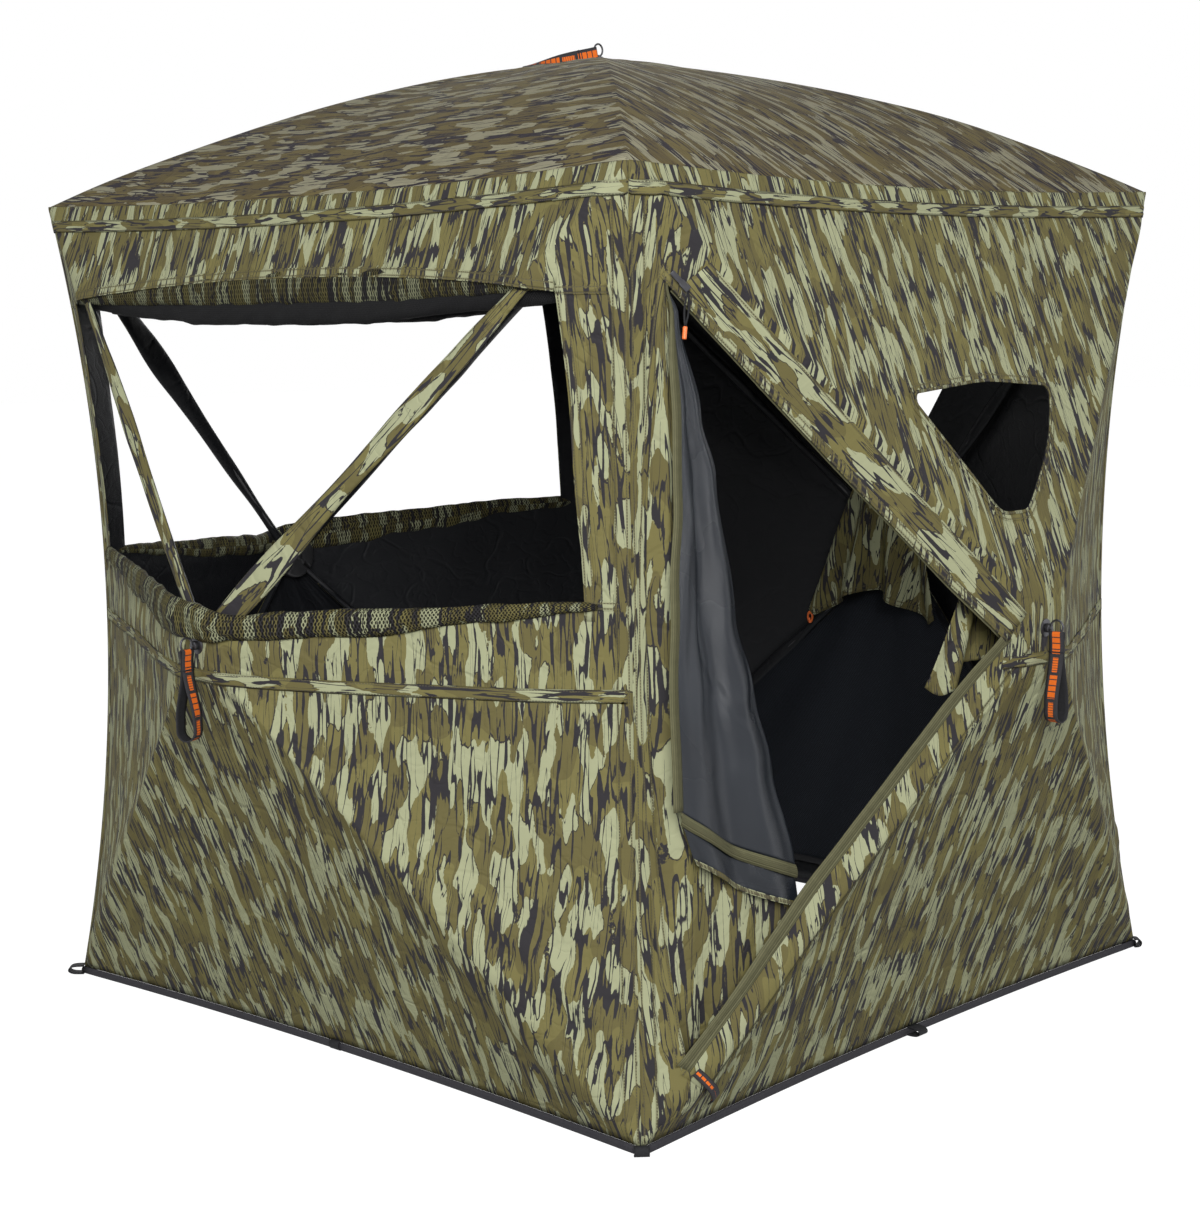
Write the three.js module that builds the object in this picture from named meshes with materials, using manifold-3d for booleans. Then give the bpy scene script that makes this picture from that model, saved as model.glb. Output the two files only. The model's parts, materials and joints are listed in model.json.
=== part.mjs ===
// Pop up ground blind: a square fabric shelter with four walls and a roof. Each of the five
// panels is pushed outwards by its own hub, from which four fibreglass poles run to the
// panel's corners. Millimetres, +Z up, origin on the ground under the middle of the shelter.
// The front wall faces -Y and holds the door, the left wall faces -X.

import * as THREE from 'three';
import { mergeVertices } from 'three/addons/utils/BufferGeometryUtils.js';
import Module from 'manifold-3d';

const wasm = await Module();
wasm.setup();

// ---------------------------------------------------------------- driving dimensions

// shelter
const FOOTPRINT = 1474; // side of the square that the hem stands on
const EAVE_HEIGHT = 1487; // ground to the four upper corners
const ROOF_HEIGHT = 1742; // ground to the fabric over the roof hub
const WALL_HUB_HEIGHT = 748; // ground to the middle of a wall hub
const WALL_HUB_OUT = 242; // how far a wall hub stands out from its corners
const SEAM_BOW = 53; // pull-in of an upright seam at mid height, along both of its walls
const EAVE_BOW = 14; // pull-in and sag of an eave at its middle
const HEM_BOW = 25; // pull-in of the hem at the middle of a side
const ROOF_BOW = 45; // rise of a roof pole above its chord
const CLEARANCE = 0.35; // air between pieces that lie on each other

// fabric
const SKIN = 3; // fabric with its coating and seam allowances
const BOLT_HOLE_R = 5;

// hem
const HEM_WIDTH = 9;
const HEM_HEIGHT = 13.6;
const TAB_WIDTH = 26;
const TAB_LENGTH = 34;
const TAB_THICKNESS = 3;

// hubs and their bolts
const HUB_R = 48;
const HUB_THICKNESS = 34;
const HUB_CHAMFER = 4;
const HUB_FACE = 5; // solid plate left in front of the pole slots
const SLOT_WIDTH = 10.6;
const SLOT_INNER_R = 25;
const PIN_R = 2.5;
const PIN_CIRCLE_R = 34;
const PIN_LENGTH = 17;
const BOLT_R = 4;
const BORE_CLEARANCE = 0.3;
const WASHER_R = 15;
const WASHER_THICKNESS = 2.5;
const NUT_R = 8;
const NUT_THICKNESS = 6.5;
const BAIL_BAR = 5;
const BAIL_WINDOW_DEPTH = 12;

// pull straps
const STRAP_WIDTH = 25;
const STRAP_THICKNESS = 1.8;
const STRAP_LENGTH = 146;
const STRAP_TOP_R = 4;
const STRAP_BOTTOM_R = 7;
const ROOF_STRAP_REST = 2; // air under the end of the roof's strap

// poles
const POLE_R = 4.5;
const POLE_TAIL = 7; // rod left beyond the hub pin
const EYE_CLEARANCE = 0.3;
const POLE_SETBACK = 30; // from a corner to the pole's end, along the pole
const POLE_INSET = 14; // from the fabric's face in to the pole's middle, at a corner

// pockets that take the poles' ends
const POCKET_R = 7.5;
const POCKET_START = 18; // from the corner to the pocket's closed end
const POCKET_LENGTH = 34;
const POCKET_CLEARANCE = 0.5;
const KNUCKLE_R = 9;
const KNUCKLE_INSET = 14;
const HEM_KNUCKLE_INSET = 12;
const HEM_KNUCKLE_RISE = 5;

// panoramic windows, in the left and the back wall
const WINDOW_SILL = 812;
const WINDOW_HEAD = 1303;
const WINDOW_HALF_WIDTH = 615;
const HEADER_DEPTH = 7;
const HEADER_THICKNESS = 5;
const CURTAIN_DEPTH = 40;
const CURTAIN_THICKNESS = 8;
const CURTAIN_HALF_WIDTH = 600;
const ROLL_DEPTH = 24;
const ROLL_OUTSIDE = 11;
const ROLL_INSIDE = 8;

// three-cornered windows, in the front and the right wall
const PORT_SILL = 937;
const PORT_HEAD = 1146;
const PORT_SILL_HALF_WIDTH = 46;
const PORT_HEAD_HALF_WIDTH = 197;
const PORT_CORNER = 18;
const FLAP_OVERLAP = 12;
const FLAP_THICKNESS = 3;
const FLAP_TILT = 7.5; // degrees that a hanging flap leans into the cabin

// door, in the front wall
const DOOR_HINGE = 664; // from the wall's middle to the door's upright side
const DOOR_TOP = 1318;
const DOOR_BOTTOM = 137;
const DOOR_TIP = 100; // from the wall's middle to the door's tip
const DOOR_TIP_HEIGHT = 744;
const TAPE_WIDTH = 22;
const TAPE_THICKNESS = 1.4;
const DOOR_FLAP_THICKNESS = 7;
const DOOR_FLAP_LAP = 12; // flap fabric that lies on the wall along its hinge
const DOOR_FLAP_DROP = 56; // from the door's upper corner down to the folded flap
const DOOR_FOLD_OUT = 191; // from the hinge to the lower end of the flap's fold
const DOOR_FOLD_MARGIN = 28; // flap's lower edge above the zip
const SLIDER_LENGTH = 17;
const SLIDER_WIDTH = 10;
const SLIDER_HEIGHT = 5;
const SLIDER_START = 24; // from the end of the zip to the parked slider
const PULL_TAB_LENGTH = 30;
const PULL_TAB_WIDTH = 8;
const PULL_TAB_THICKNESS = 1.6;

// gear pocket, on the right wall between its two lower poles
const GEAR_POCKET_TOP = 600;
const GEAR_POCKET_BOTTOM = 60;
const GEAR_POCKET_THICKNESS = 2.5;

// resolution of the curved edges
const EDGE_STEPS = 8;
const ROOF_RINGS = 6;
const ROD_SIDES = 10;
const ROOF_POLE_STEPS = 12;
const HUB_SIDES = 24;
const SMALL_SIDES = 10;

// ---------------------------------------------------------------- worked out from them

const HALF = FOOTPRINT / 2;
const BASE_HEIGHT = HEM_HEIGHT + CLEARANCE;
const DISC_R = HUB_R + SKIN; // flat round of fabric stretched over a hub
const HUB_FRONT = SKIN + CLEARANCE; // depth of a hub's face under the fabric's outside
const PIN_DEPTH = HUB_FRONT + HUB_THICKNESS / 2;
const BAIL_BACK = CLEARANCE + WASHER_THICKNESS;
const BAIL_FRONT = BAIL_BACK + BAIL_BAR + BAIL_WINDOW_DEPTH; // near side of the front bar
const BAIL_HALF_WIDTH = STRAP_WIDTH / 2 + BAIL_BAR + 1;
const STRAP_PIVOT = BAIL_FRONT + BAIL_BAR / 2;
const EDGE_SHARE = 0.8; // share of an offset that moves an edge along each of its two panels
const QUARTER = Math.PI / 2;

const WALLS = [
  { name: 'front', turn: 0 },
  { name: 'right', turn: 1 },
  { name: 'back', turn: 2 },
  { name: 'left', turn: 3 },
];

const CAMO = { color: 0x6e6a54, roughness: 0.85, metalness: 0 };
const MESH_CLOTH = { color: 0x5c5947, roughness: 0.9, metalness: 0 };
const BLACK_WEBBING = { color: 0x1b1b1c, roughness: 0.8, metalness: 0 };
const BLACK_PLASTIC = { color: 0x151516, roughness: 0.45, metalness: 0 };
const FIBREGLASS = { color: 0x202123, roughness: 0.35, metalness: 0 };
const DARK_STEEL = { color: 0x3a3b3d, roughness: 0.4, metalness: 0.9 };
const OLIVE_TAPE = { color: 0x55533a, roughness: 0.8, metalness: 0 };
const COATED_CLOTH = { color: 0x3b3d42, roughness: 0.5, metalness: 0 };

// ---------------------------------------------------------------- solids

function solid(geometry) {
  const bare = geometry.clone();
  bare.deleteAttribute('normal');
  bare.deleteAttribute('uv');
  const merged = mergeVertices(bare, 1e-4);
  return new wasm.Manifold(new wasm.Mesh({
    numProp: 3,
    vertProperties: Float32Array.from(merged.attributes.position.array),
    triVerts: Uint32Array.from(merged.index.array),
  }));
}

function geometryOf(body) {
  const { vertProperties, triVerts } = body.getMesh();
  const geometry = new THREE.BufferGeometry();
  geometry.setAttribute('position', new THREE.BufferAttribute(vertProperties, 3));
  geometry.setIndex(new THREE.BufferAttribute(triVerts, 1));
  geometry.computeVertexNormals();
  return geometry;
}

function named(name, shape, finish) {
  const geometry = shape.isBufferGeometry ? shape : geometryOf(shape);
  const mesh = new THREE.Mesh(geometry, new THREE.MeshStandardMaterial(finish));
  mesh.name = name;
  return mesh;
}

function outlineOf(points) {
  return new THREE.Shape(points.map(([x, y]) => new THREE.Vector2(x, y)));
}

// a prism through a wall, from an outline across (x) and up (z) the wall
function throughWall(points) {
  const depth = WALL_HUB_OUT + HALF;
  const prism = new THREE.ExtrudeGeometry(outlineOf(points), { depth, bevelEnabled: false });
  prism.rotateX(QUARTER);
  prism.translate(0, -HALF / 2, 0);
  return solid(prism);
}

function boxBetween(low, high) {
  const size = high.map((v, i) => v - low[i]);
  const box = new THREE.BoxGeometry(...size);
  box.translate(...low.map((v, i) => v + size[i] / 2));
  return solid(box);
}

// a round bar of the given radius along +X
function barAlongX(radius, from, to, sides) {
  const bar = new THREE.CylinderGeometry(radius, radius, to - from, sides);
  bar.rotateZ(QUARTER);
  bar.translate((from + to) / 2, 0, 0);
  return bar;
}

// turns an object so that its +X runs along the given direction and its +Y stays across it
function aim(object, along, across) {
  const x = along.clone().normalize();
  const z = x.clone().cross(across).normalize();
  const y = z.clone().cross(x);
  object.quaternion.setFromRotationMatrix(new THREE.Matrix4().makeBasis(x, y, z));
}

// ---------------------------------------------------------------- fabric panels

// a net holds the hub's centre and rings of points, from the hub's rim out to the panel's edge
const bow = (s) => 1 - s * s;
const steps = Array.from({ length: EDGE_STEPS }, (_, i) => (2 * i) / EDGE_STEPS - 1);

function net(centre, edge, normal, rings, rise) {
  const rim = edge.map((p) => {
    const away = p.clone().sub(centre);
    away.addScaledVector(normal, -away.dot(normal)).setLength(DISC_R);
    return away.add(centre);
  });
  const ring = (u) => edge.map((p, i) => (
    rim[i].clone().lerp(p, u).addScaledVector(normal, rise * 4 * u * (1 - u))
  ));
  return { centre, rings: Array.from({ length: rings + 1 }, (_, i) => ring(i / rings)) };
}

// the wall's four edges, counter-clockwise seen from outside, at an offset from its outside
function wallNet(offset) {
  const out = offset * EDGE_SHARE;
  const side = HALF - CLEARANCE;
  const top = EAVE_HEIGHT - CLEARANCE;
  const height = top - BASE_HEIGHT;
  const upright = (sign) => (s) => {
    const pull = SEAM_BOW * bow(s);
    const z = BASE_HEIGHT + (height * (1 + sign * s)) / 2;
    const lift = z === top ? out : 0;
    return new THREE.Vector3(sign * (side - pull + out), -HALF + pull - out, z + lift);
  };
  const hem = (s) => (s === -1
    ? new THREE.Vector3(-side - out, -HALF - out, BASE_HEIGHT)
    : new THREE.Vector3(s * side, -HALF + HEM_BOW * bow(s) - out, BASE_HEIGHT));
  const eave = (s) => (s === -1
    ? new THREE.Vector3(side + out, -HALF - out, top + out)
    : new THREE.Vector3(-s * side, -HALF + EAVE_BOW * bow(s) - out, top - EAVE_BOW * bow(s) + out));
  const edge = [hem, upright(1), eave, upright(-1)].flatMap((at) => steps.map(at));
  const centre = new THREE.Vector3(0, -HALF - WALL_HUB_OUT - offset, WALL_HUB_HEIGHT);
  return net(centre, edge, new THREE.Vector3(0, -1, 0), 1, 0);
}

function roofNet(offset) {
  const out = offset * EDGE_SHARE;
  const side = HALF - CLEARANCE;
  const corner = new THREE.Vector3(-side - out, -side - out, EAVE_HEIGHT + out);
  const eave = (s) => (s === -1
    ? corner
    : new THREE.Vector3(s * side, -side + EAVE_BOW * bow(s) - out, EAVE_HEIGHT - EAVE_BOW * bow(s) + out));
  const up = new THREE.Vector3(0, 0, 1);
  const edge = WALLS.flatMap(({ turn }) => (
    steps.map((s) => eave(s).clone().applyAxisAngle(up, turn * QUARTER))
  ));
  return net(new THREE.Vector3(0, 0, ROOF_HEIGHT + offset), edge, up, ROOF_RINGS, ROOF_BOW);
}

// closes the space between two nets of one panel into a single body
function shellBetween(outer, inner) {
  const count = outer.rings[0].length;
  const layers = [outer, inner].map(({ centre, rings }) => [centre, ...rings.flat()]);
  const inside = layers[0].length;
  const last = inside - count;
  const faces = [];
  for (let i = 0; i < count; i += 1) {
    const j = (i + 1) % count;
    const sheet = [[0, 1 + i, 1 + j]];
    for (let ring = 1; ring < inside - count; ring += count) {
      sheet.push([ring + i, ring + count + i, ring + count + j]);
      sheet.push([ring + i, ring + count + j, ring + j]);
    }
    for (const [a, b, c] of sheet) {
      faces.push([a, b, c], [inside + a, inside + c, inside + b]);
    }
    faces.push([last + i, inside + last + i, inside + last + j]);
    faces.push([last + i, inside + last + j, last + j]);
  }
  const geometry = new THREE.BufferGeometry();
  geometry.setFromPoints(layers.flat());
  geometry.setIndex(faces.flat());
  return solid(geometry);
}

const wallShell = (outside, inside) => shellBetween(wallNet(outside), wallNet(inside));

// how far the wall's outside stands out (as y) at a place across and up the wall
function wallFace(x, z) {
  const { centre, rings: [rim, edge] } = wallNet(0);
  const triangles = edge.flatMap((_, i) => {
    const j = (i + 1) % edge.length;
    return [[centre, rim[i], rim[j]], [rim[i], edge[i], edge[j]], [rim[i], edge[j], rim[j]]];
  });
  const ray = new THREE.Ray(new THREE.Vector3(x, -4 * HALF, z), new THREE.Vector3(0, 1, 0));
  const hits = triangles.map(([a, b, c]) => (
    ray.intersectTriangle(a, b, c, false, new THREE.Vector3())
  ));
  return hits.find((hit) => hit !== null).y;
}

const onWall = (x, z) => new THREE.Vector3(x, wallFace(x, z), z);

// ---------------------------------------------------------------- openings in the walls

const windowOutline = [
  [-WINDOW_HALF_WIDTH, WINDOW_SILL],
  [WINDOW_HALF_WIDTH, WINDOW_SILL],
  [WINDOW_HALF_WIDTH, WINDOW_HEAD],
  [-WINDOW_HALF_WIDTH, WINDOW_HEAD],
];

const portOutline = [
  [-PORT_SILL_HALF_WIDTH, PORT_SILL],
  [PORT_SILL_HALF_WIDTH, PORT_SILL],
  [PORT_HEAD_HALF_WIDTH, PORT_HEAD - PORT_CORNER],
  [PORT_HEAD_HALF_WIDTH - PORT_CORNER, PORT_HEAD],
  [PORT_CORNER - PORT_HEAD_HALF_WIDTH, PORT_HEAD],
  [-PORT_HEAD_HALF_WIDTH, PORT_HEAD - PORT_CORNER],
];

const doorUpper = new THREE.Vector2(-DOOR_HINGE, DOOR_TOP);
const doorTip = new THREE.Vector2(-DOOR_TIP, DOOR_TIP_HEIGHT);
const doorLower = new THREE.Vector2(-DOOR_HINGE, DOOR_BOTTOM);
const doorOutline = [doorUpper, doorLower, doorTip].map((p) => p.toArray());

// the zip tape runs outside the door's two slanting edges and turns at its tip
const tapeShift = (from, to) => {
  const along = to.clone().sub(from).normalize();
  return new THREE.Vector2(-along.y, along.x).multiplyScalar(TAPE_WIDTH);
};
const upperShift = tapeShift(doorUpper, doorTip);
const lowerShift = tapeShift(doorTip, doorLower);
const tipShift = upperShift.clone().add(lowerShift).setLength(
  TAPE_WIDTH / Math.cos(upperShift.angleTo(lowerShift) / 2),
);
const tapeOutline = [
  doorUpper,
  doorTip,
  doorLower,
  doorLower.clone().add(lowerShift),
  doorTip.clone().add(tipShift),
  doorUpper.clone().add(upperShift),
].map((p) => p.toArray());

// ---------------------------------------------------------------- hub sets
// In a panel's frame the origin is on the fabric over the hub, +Z points out of the shelter
// and +Y points up a wall.

function hubBody() {
  const back = -HUB_FRONT - HUB_THICKNESS;
  const profile = [
    [0, back], [HUB_R - HUB_CHAMFER, back], [HUB_R, back + HUB_CHAMFER],
    [HUB_R, -HUB_FRONT - HUB_CHAMFER], [HUB_R - HUB_CHAMFER, -HUB_FRONT], [0, -HUB_FRONT],
  ];
  const disc = new THREE.LatheGeometry(profile.map(([x, y]) => new THREE.Vector2(x, y)), HUB_SIDES);
  disc.rotateX(QUARTER);
  const bore = new THREE.CylinderGeometry(
    BOLT_R + BORE_CLEARANCE, BOLT_R + BORE_CLEARANCE, 3 * HUB_THICKNESS, SMALL_SIDES,
  );
  bore.rotateX(QUARTER);
  let hub = solid(disc).subtract(solid(bore));
  for (let i = 0; i < 4; i += 1) {
    const angle = 45 + 90 * i;
    const slot = boxBetween(
      [SLOT_INNER_R, -SLOT_WIDTH / 2, back - 1],
      [HUB_R + 1, SLOT_WIDTH / 2, -HUB_FRONT - HUB_FACE],
    );
    const pin = new THREE.CylinderGeometry(PIN_R, PIN_R, PIN_LENGTH, SMALL_SIDES);
    pin.translate(PIN_CIRCLE_R, 0, -PIN_DEPTH);
    hub = hub.subtract(slot.rotate([0, 0, angle])).add(solid(pin).rotate([0, 0, angle]));
  }
  return hub;
}

function ringBolt() {
  const nutFront = -HUB_FRONT - HUB_THICKNESS - CLEARANCE;
  const disc = (radius, from, to, sides) => {
    const round = new THREE.CylinderGeometry(radius, radius, to - from, sides);
    round.rotateX(QUARTER);
    round.translate(0, 0, (from + to) / 2);
    return solid(round);
  };
  const bail = outlineOf([
    [-BAIL_HALF_WIDTH, BAIL_BACK - 1], [BAIL_HALF_WIDTH, BAIL_BACK - 1],
    [BAIL_HALF_WIDTH, BAIL_FRONT], [BAIL_HALF_WIDTH - BAIL_BAR, BAIL_FRONT + BAIL_BAR],
    [BAIL_BAR - BAIL_HALF_WIDTH, BAIL_FRONT + BAIL_BAR], [-BAIL_HALF_WIDTH, BAIL_FRONT],
  ]);
  bail.holes.push(new THREE.Path([
    [BAIL_BAR - BAIL_HALF_WIDTH, BAIL_BACK + BAIL_BAR],
    [BAIL_BAR - BAIL_HALF_WIDTH, BAIL_FRONT],
    [BAIL_HALF_WIDTH - BAIL_BAR, BAIL_FRONT],
    [BAIL_HALF_WIDTH - BAIL_BAR, BAIL_BACK + BAIL_BAR],
  ].map(([x, y]) => new THREE.Vector2(x, y))));
  const plate = new THREE.ExtrudeGeometry(bail, { depth: BAIL_BAR, bevelEnabled: false });
  plate.rotateX(QUARTER);
  plate.translate(0, BAIL_BAR / 2, 0);
  return disc(BOLT_R, nutFront - NUT_THICKNESS, BAIL_BACK, SMALL_SIDES)
    .add(disc(NUT_R, nutFront - NUT_THICKNESS, nutFront, 6))
    .add(disc(WASHER_R, CLEARANCE, BAIL_BACK, 2 * SMALL_SIDES))
    .add(solid(plate));
}

// a loop of webbing round the bail's front bar, hanging along -Y with its pivot at the origin
function strapLoop() {
  const loop = (grow) => {
    const outline = new THREE.Shape();
    outline.absarc(0, 0, STRAP_TOP_R + grow, 0, Math.PI, false);
    outline.absarc(0, -STRAP_LENGTH, STRAP_BOTTOM_R + grow, Math.PI, 2 * Math.PI, false);
    return outline;
  };
  const band = loop(STRAP_THICKNESS);
  band.holes.push(loop(0));
  const geometry = new THREE.ExtrudeGeometry(band, {
    depth: STRAP_WIDTH, bevelEnabled: false, curveSegments: 4,
  });
  geometry.translate(0, 0, -STRAP_WIDTH / 2);
  geometry.rotateY(QUARTER);
  return geometry;
}

// where a pole starts and ends in its panel's frame, for the panel's corner it runs to, and
// the way that it leaves its end
function poleSeat(corner, rise) {
  const flat = new THREE.Vector3(corner.x, corner.y, 0).normalize();
  const pin = flat.clone().multiplyScalar(PIN_CIRCLE_R).setZ(-PIN_DEPTH);
  const share = POLE_SETBACK / corner.length();
  const end = corner.clone().multiplyScalar(1 - share);
  end.z += rise * 4 * share * (1 - share) - POLE_INSET;
  const back = pin.clone().sub(end);
  back.z += 4 * rise;
  return { pin, end, back: back.normalize(), across: new THREE.Vector3(-flat.y, flat.x, 0) };
}

// a rod along +X from its pin, with an eye across it and, on the roof, a rise at its middle
function poleBody(length, rise) {
  const section = new THREE.Shape().absarc(0, 0, POLE_R, 0, 2 * Math.PI, false);
  const path = new THREE.CatmullRomCurve3([]);
  const count = rise ? ROOF_POLE_STEPS : 1;
  for (let i = 0; i <= count; i += 1) {
    const x = -POLE_TAIL + ((length + POLE_TAIL) * i) / count;
    const share = Math.max(x, 0) / length;
    path.points.push(new THREE.Vector3(x, 0, rise * 4 * share * (1 - share)));
  }
  const rod = rise
    ? new THREE.ExtrudeGeometry(section, {
      steps: ROOF_POLE_STEPS, extrudePath: path, curveSegments: ROD_SIDES / 2, bevelEnabled: false,
    })
    : barAlongX(POLE_R, -POLE_TAIL, length, ROD_SIDES);
  const eye = new THREE.CylinderGeometry(
    PIN_R + EYE_CLEARANCE, PIN_R + EYE_CLEARANCE, 4 * POLE_R, SMALL_SIDES,
  );
  return solid(rod).subtract(solid(eye));
}

const hubShape = geometryOf(hubBody());
const boltShape = geometryOf(ringBolt());
const strapShape = strapLoop();

function hubSet(name, corners, rise, droop) {
  const set = new THREE.Group();
  const strap = named(`pull_strap_${name}`, strapShape, BLACK_WEBBING);
  strap.position.z = STRAP_PIVOT;
  strap.rotation.x = droop;
  set.add(named(`hub_${name}`, hubShape, BLACK_PLASTIC));
  set.add(named(`ring_bolt_${name}`, boltShape, DARK_STEEL));
  set.add(strap);
  for (const [place, corner] of Object.entries(corners)) {
    const { pin, end, across } = poleSeat(corner, rise);
    const length = pin.distanceTo(end);
    const pole = named(`pole_${name}_${place}`, poleBody(length, rise), FIBREGLASS);
    pole.position.copy(pin);
    aim(pole, end.clone().sub(pin), across);
    set.add(pole);
  }
  return set;
}

// ---------------------------------------------------------------- pieces on single walls

// a sewn or hung piece that follows the wall: a slice of the wall's surface
function onSurface(outline, outside, inside) {
  return wallShell(outside, inside).intersect(throughWall(outline));
}

const strip = (halfWidth, low, high) => [
  [-halfWidth, low], [halfWidth, low], [halfWidth, high], [-halfWidth, high],
];

function panoramicWindow(name) {
  const headerLow = WINDOW_HEAD - CLEARANCE - HEADER_DEPTH;
  const curtainHigh = headerLow - CLEARANCE;
  const rollLow = WINDOW_SILL + CLEARANCE;
  return [
    named(
      `curtain_header_${name}`,
      onSurface(
        strip(CURTAIN_HALF_WIDTH, headerLow, headerLow + HEADER_DEPTH),
        HEADER_THICKNESS / 2,
        -HEADER_THICKNESS / 2,
      ),
      BLACK_WEBBING,
    ),
    named(
      `window_curtain_${name}`,
      onSurface(
        strip(CURTAIN_HALF_WIDTH, curtainHigh - CURTAIN_DEPTH, curtainHigh),
        CURTAIN_THICKNESS / 2,
        -CURTAIN_THICKNESS / 2,
      ),
      MESH_CLOTH,
    ),
    named(
      `sill_roll_${name}`,
      onSurface(strip(CURTAIN_HALF_WIDTH, rollLow, rollLow + ROLL_DEPTH), ROLL_OUTSIDE, -ROLL_INSIDE),
      MESH_CLOTH,
    ),
  ];
}

// the flap of a three-cornered window, hung inside its sill
function portFlap(name) {
  const top = PORT_SILL_HALF_WIDTH + FLAP_OVERLAP;
  const bottom = PORT_HEAD_HALF_WIDTH + FLAP_OVERLAP;
  const drop = PORT_HEAD - PORT_SILL;
  const plate = new THREE.ExtrudeGeometry(
    outlineOf([[-top, 0], [-bottom, -drop], [bottom, -drop], [top, 0]]),
    { depth: FLAP_THICKNESS, bevelEnabled: false },
  );
  plate.rotateX(QUARTER);
  plate.translate(0, FLAP_THICKNESS / 2, 0);
  const flap = named(`window_flap_${name}`, plate, CAMO);
  const face = wallFace(top, PORT_SILL);
  flap.position.set(0, face + SKIN + 2 * CLEARANCE + FLAP_THICKNESS / 2, PORT_SILL);
  flap.rotation.x = THREE.MathUtils.degToRad(FLAP_TILT);
  return flap;
}

// the unzipped door, folded once and hanging from its hinge seam
function doorFlap() {
  const lapped = -DOOR_HINGE - DOOR_FLAP_LAP;
  const slope = (DOOR_TIP_HEIGHT - DOOR_BOTTOM) / (DOOR_HINGE - DOOR_TIP);
  const top = DOOR_TOP - DOOR_FLAP_DROP;
  const foldLow = DOOR_BOTTOM + DOOR_FOLD_OUT * slope + DOOR_FOLD_MARGIN;
  const outline = [
    [lapped, top],
    [lapped, DOOR_BOTTOM + DOOR_FOLD_MARGIN],
    [-DOOR_HINGE, DOOR_BOTTOM + DOOR_FOLD_MARGIN],
    [DOOR_FOLD_OUT - DOOR_HINGE, foldLow],
    [DOOR_FOLD_MARGIN - DOOR_HINGE, top],
  ];
  const body = onSurface(outline, CLEARANCE + DOOR_FLAP_THICKNESS, CLEARANCE);
  return named('door_flap', body, COATED_CLOTH);
}

function zipTape() {
  const body = onSurface(tapeOutline, CLEARANCE + TAPE_THICKNESS, CLEARANCE);
  return named('door_zip_tape', body, OLIVE_TAPE);
}

// a slider parked near the start of its zip; +X points along the zip towards the door's tip
function zipSlider(name, start, shift) {
  const low = 2 * CLEARANCE + TAPE_THICKNESS;
  const body = boxBetween(
    [-SLIDER_LENGTH / 2, -SLIDER_WIDTH / 2, low],
    [SLIDER_LENGTH / 2, SLIDER_WIDTH / 2, low + SLIDER_HEIGHT],
  ).add(boxBetween(
    [-PULL_TAB_LENGTH, -PULL_TAB_WIDTH / 2, low + SLIDER_HEIGHT - PULL_TAB_THICKNESS],
    [0, PULL_TAB_WIDTH / 2, low + SLIDER_HEIGHT],
  ));
  const way = doorTip.clone().sub(start).normalize();
  const middle = shift.clone().multiplyScalar(0.5);
  const parked = start.clone().addScaledVector(way, SLIDER_START).add(middle);
  const far = doorTip.clone().addScaledVector(way, -SLIDER_LENGTH).add(middle);
  const here = onWall(parked.x, parked.y);
  const there = onWall(far.x, far.y);
  const slider = named(name, body, BLACK_PLASTIC);
  const side = onWall(parked.x + shift.x / 4, parked.y + shift.y / 4).sub(here);
  const across = shift.x * way.y - shift.y * way.x > 0 ? side.negate() : side;
  slider.position.copy(here);
  aim(slider, there.sub(here), across);
  return slider;
}

// a mesh pocket on the inside of the right wall, from one lower pole to the other
function gearPocket() {
  const halfWidthAt = (z) => (HALF * (WALL_HUB_HEIGHT - z)) / (WALL_HUB_HEIGHT - BASE_HEIGHT);
  const outline = [
    [-halfWidthAt(GEAR_POCKET_BOTTOM), GEAR_POCKET_BOTTOM],
    [halfWidthAt(GEAR_POCKET_BOTTOM), GEAR_POCKET_BOTTOM],
    [halfWidthAt(GEAR_POCKET_TOP), GEAR_POCKET_TOP],
    [-halfWidthAt(GEAR_POCKET_TOP), GEAR_POCKET_TOP],
  ];
  const face = -SKIN - CLEARANCE;
  return named('gear_pocket', onSurface(outline, face, face - GEAR_POCKET_THICKNESS), BLACK_WEBBING);
}

// ---------------------------------------------------------------- corners and hem

// cups round pole ends, joined by a knuckle near the corner
function pocketBody(seats, knuckle) {
  let body = solid(new THREE.SphereGeometry(KNUCKLE_R, SMALL_SIDES, SMALL_SIDES / 2));
  body = body.translate(knuckle.toArray());
  const cups = seats.map(({ end, back }) => {
    const place = new THREE.Object3D();
    place.position.copy(end);
    aim(place, back, new THREE.Vector3(-back.y, back.x, 0));
    place.updateMatrix();
    const cut = (radius, from, to) => {
      const bar = barAlongX(radius, from, to, SMALL_SIDES);
      return solid(bar.applyMatrix4(place.matrix));
    };
    return {
      cup: cut(POCKET_R, POCKET_START - POLE_SETBACK, POCKET_START - POLE_SETBACK + POCKET_LENGTH),
      bore: cut(POLE_R + POCKET_CLEARANCE, -POCKET_CLEARANCE, POCKET_LENGTH),
    };
  });
  for (const { cup } of cups) body = body.add(cup);
  for (const { bore } of cups) body = body.subtract(bore);
  return body;
}

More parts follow.
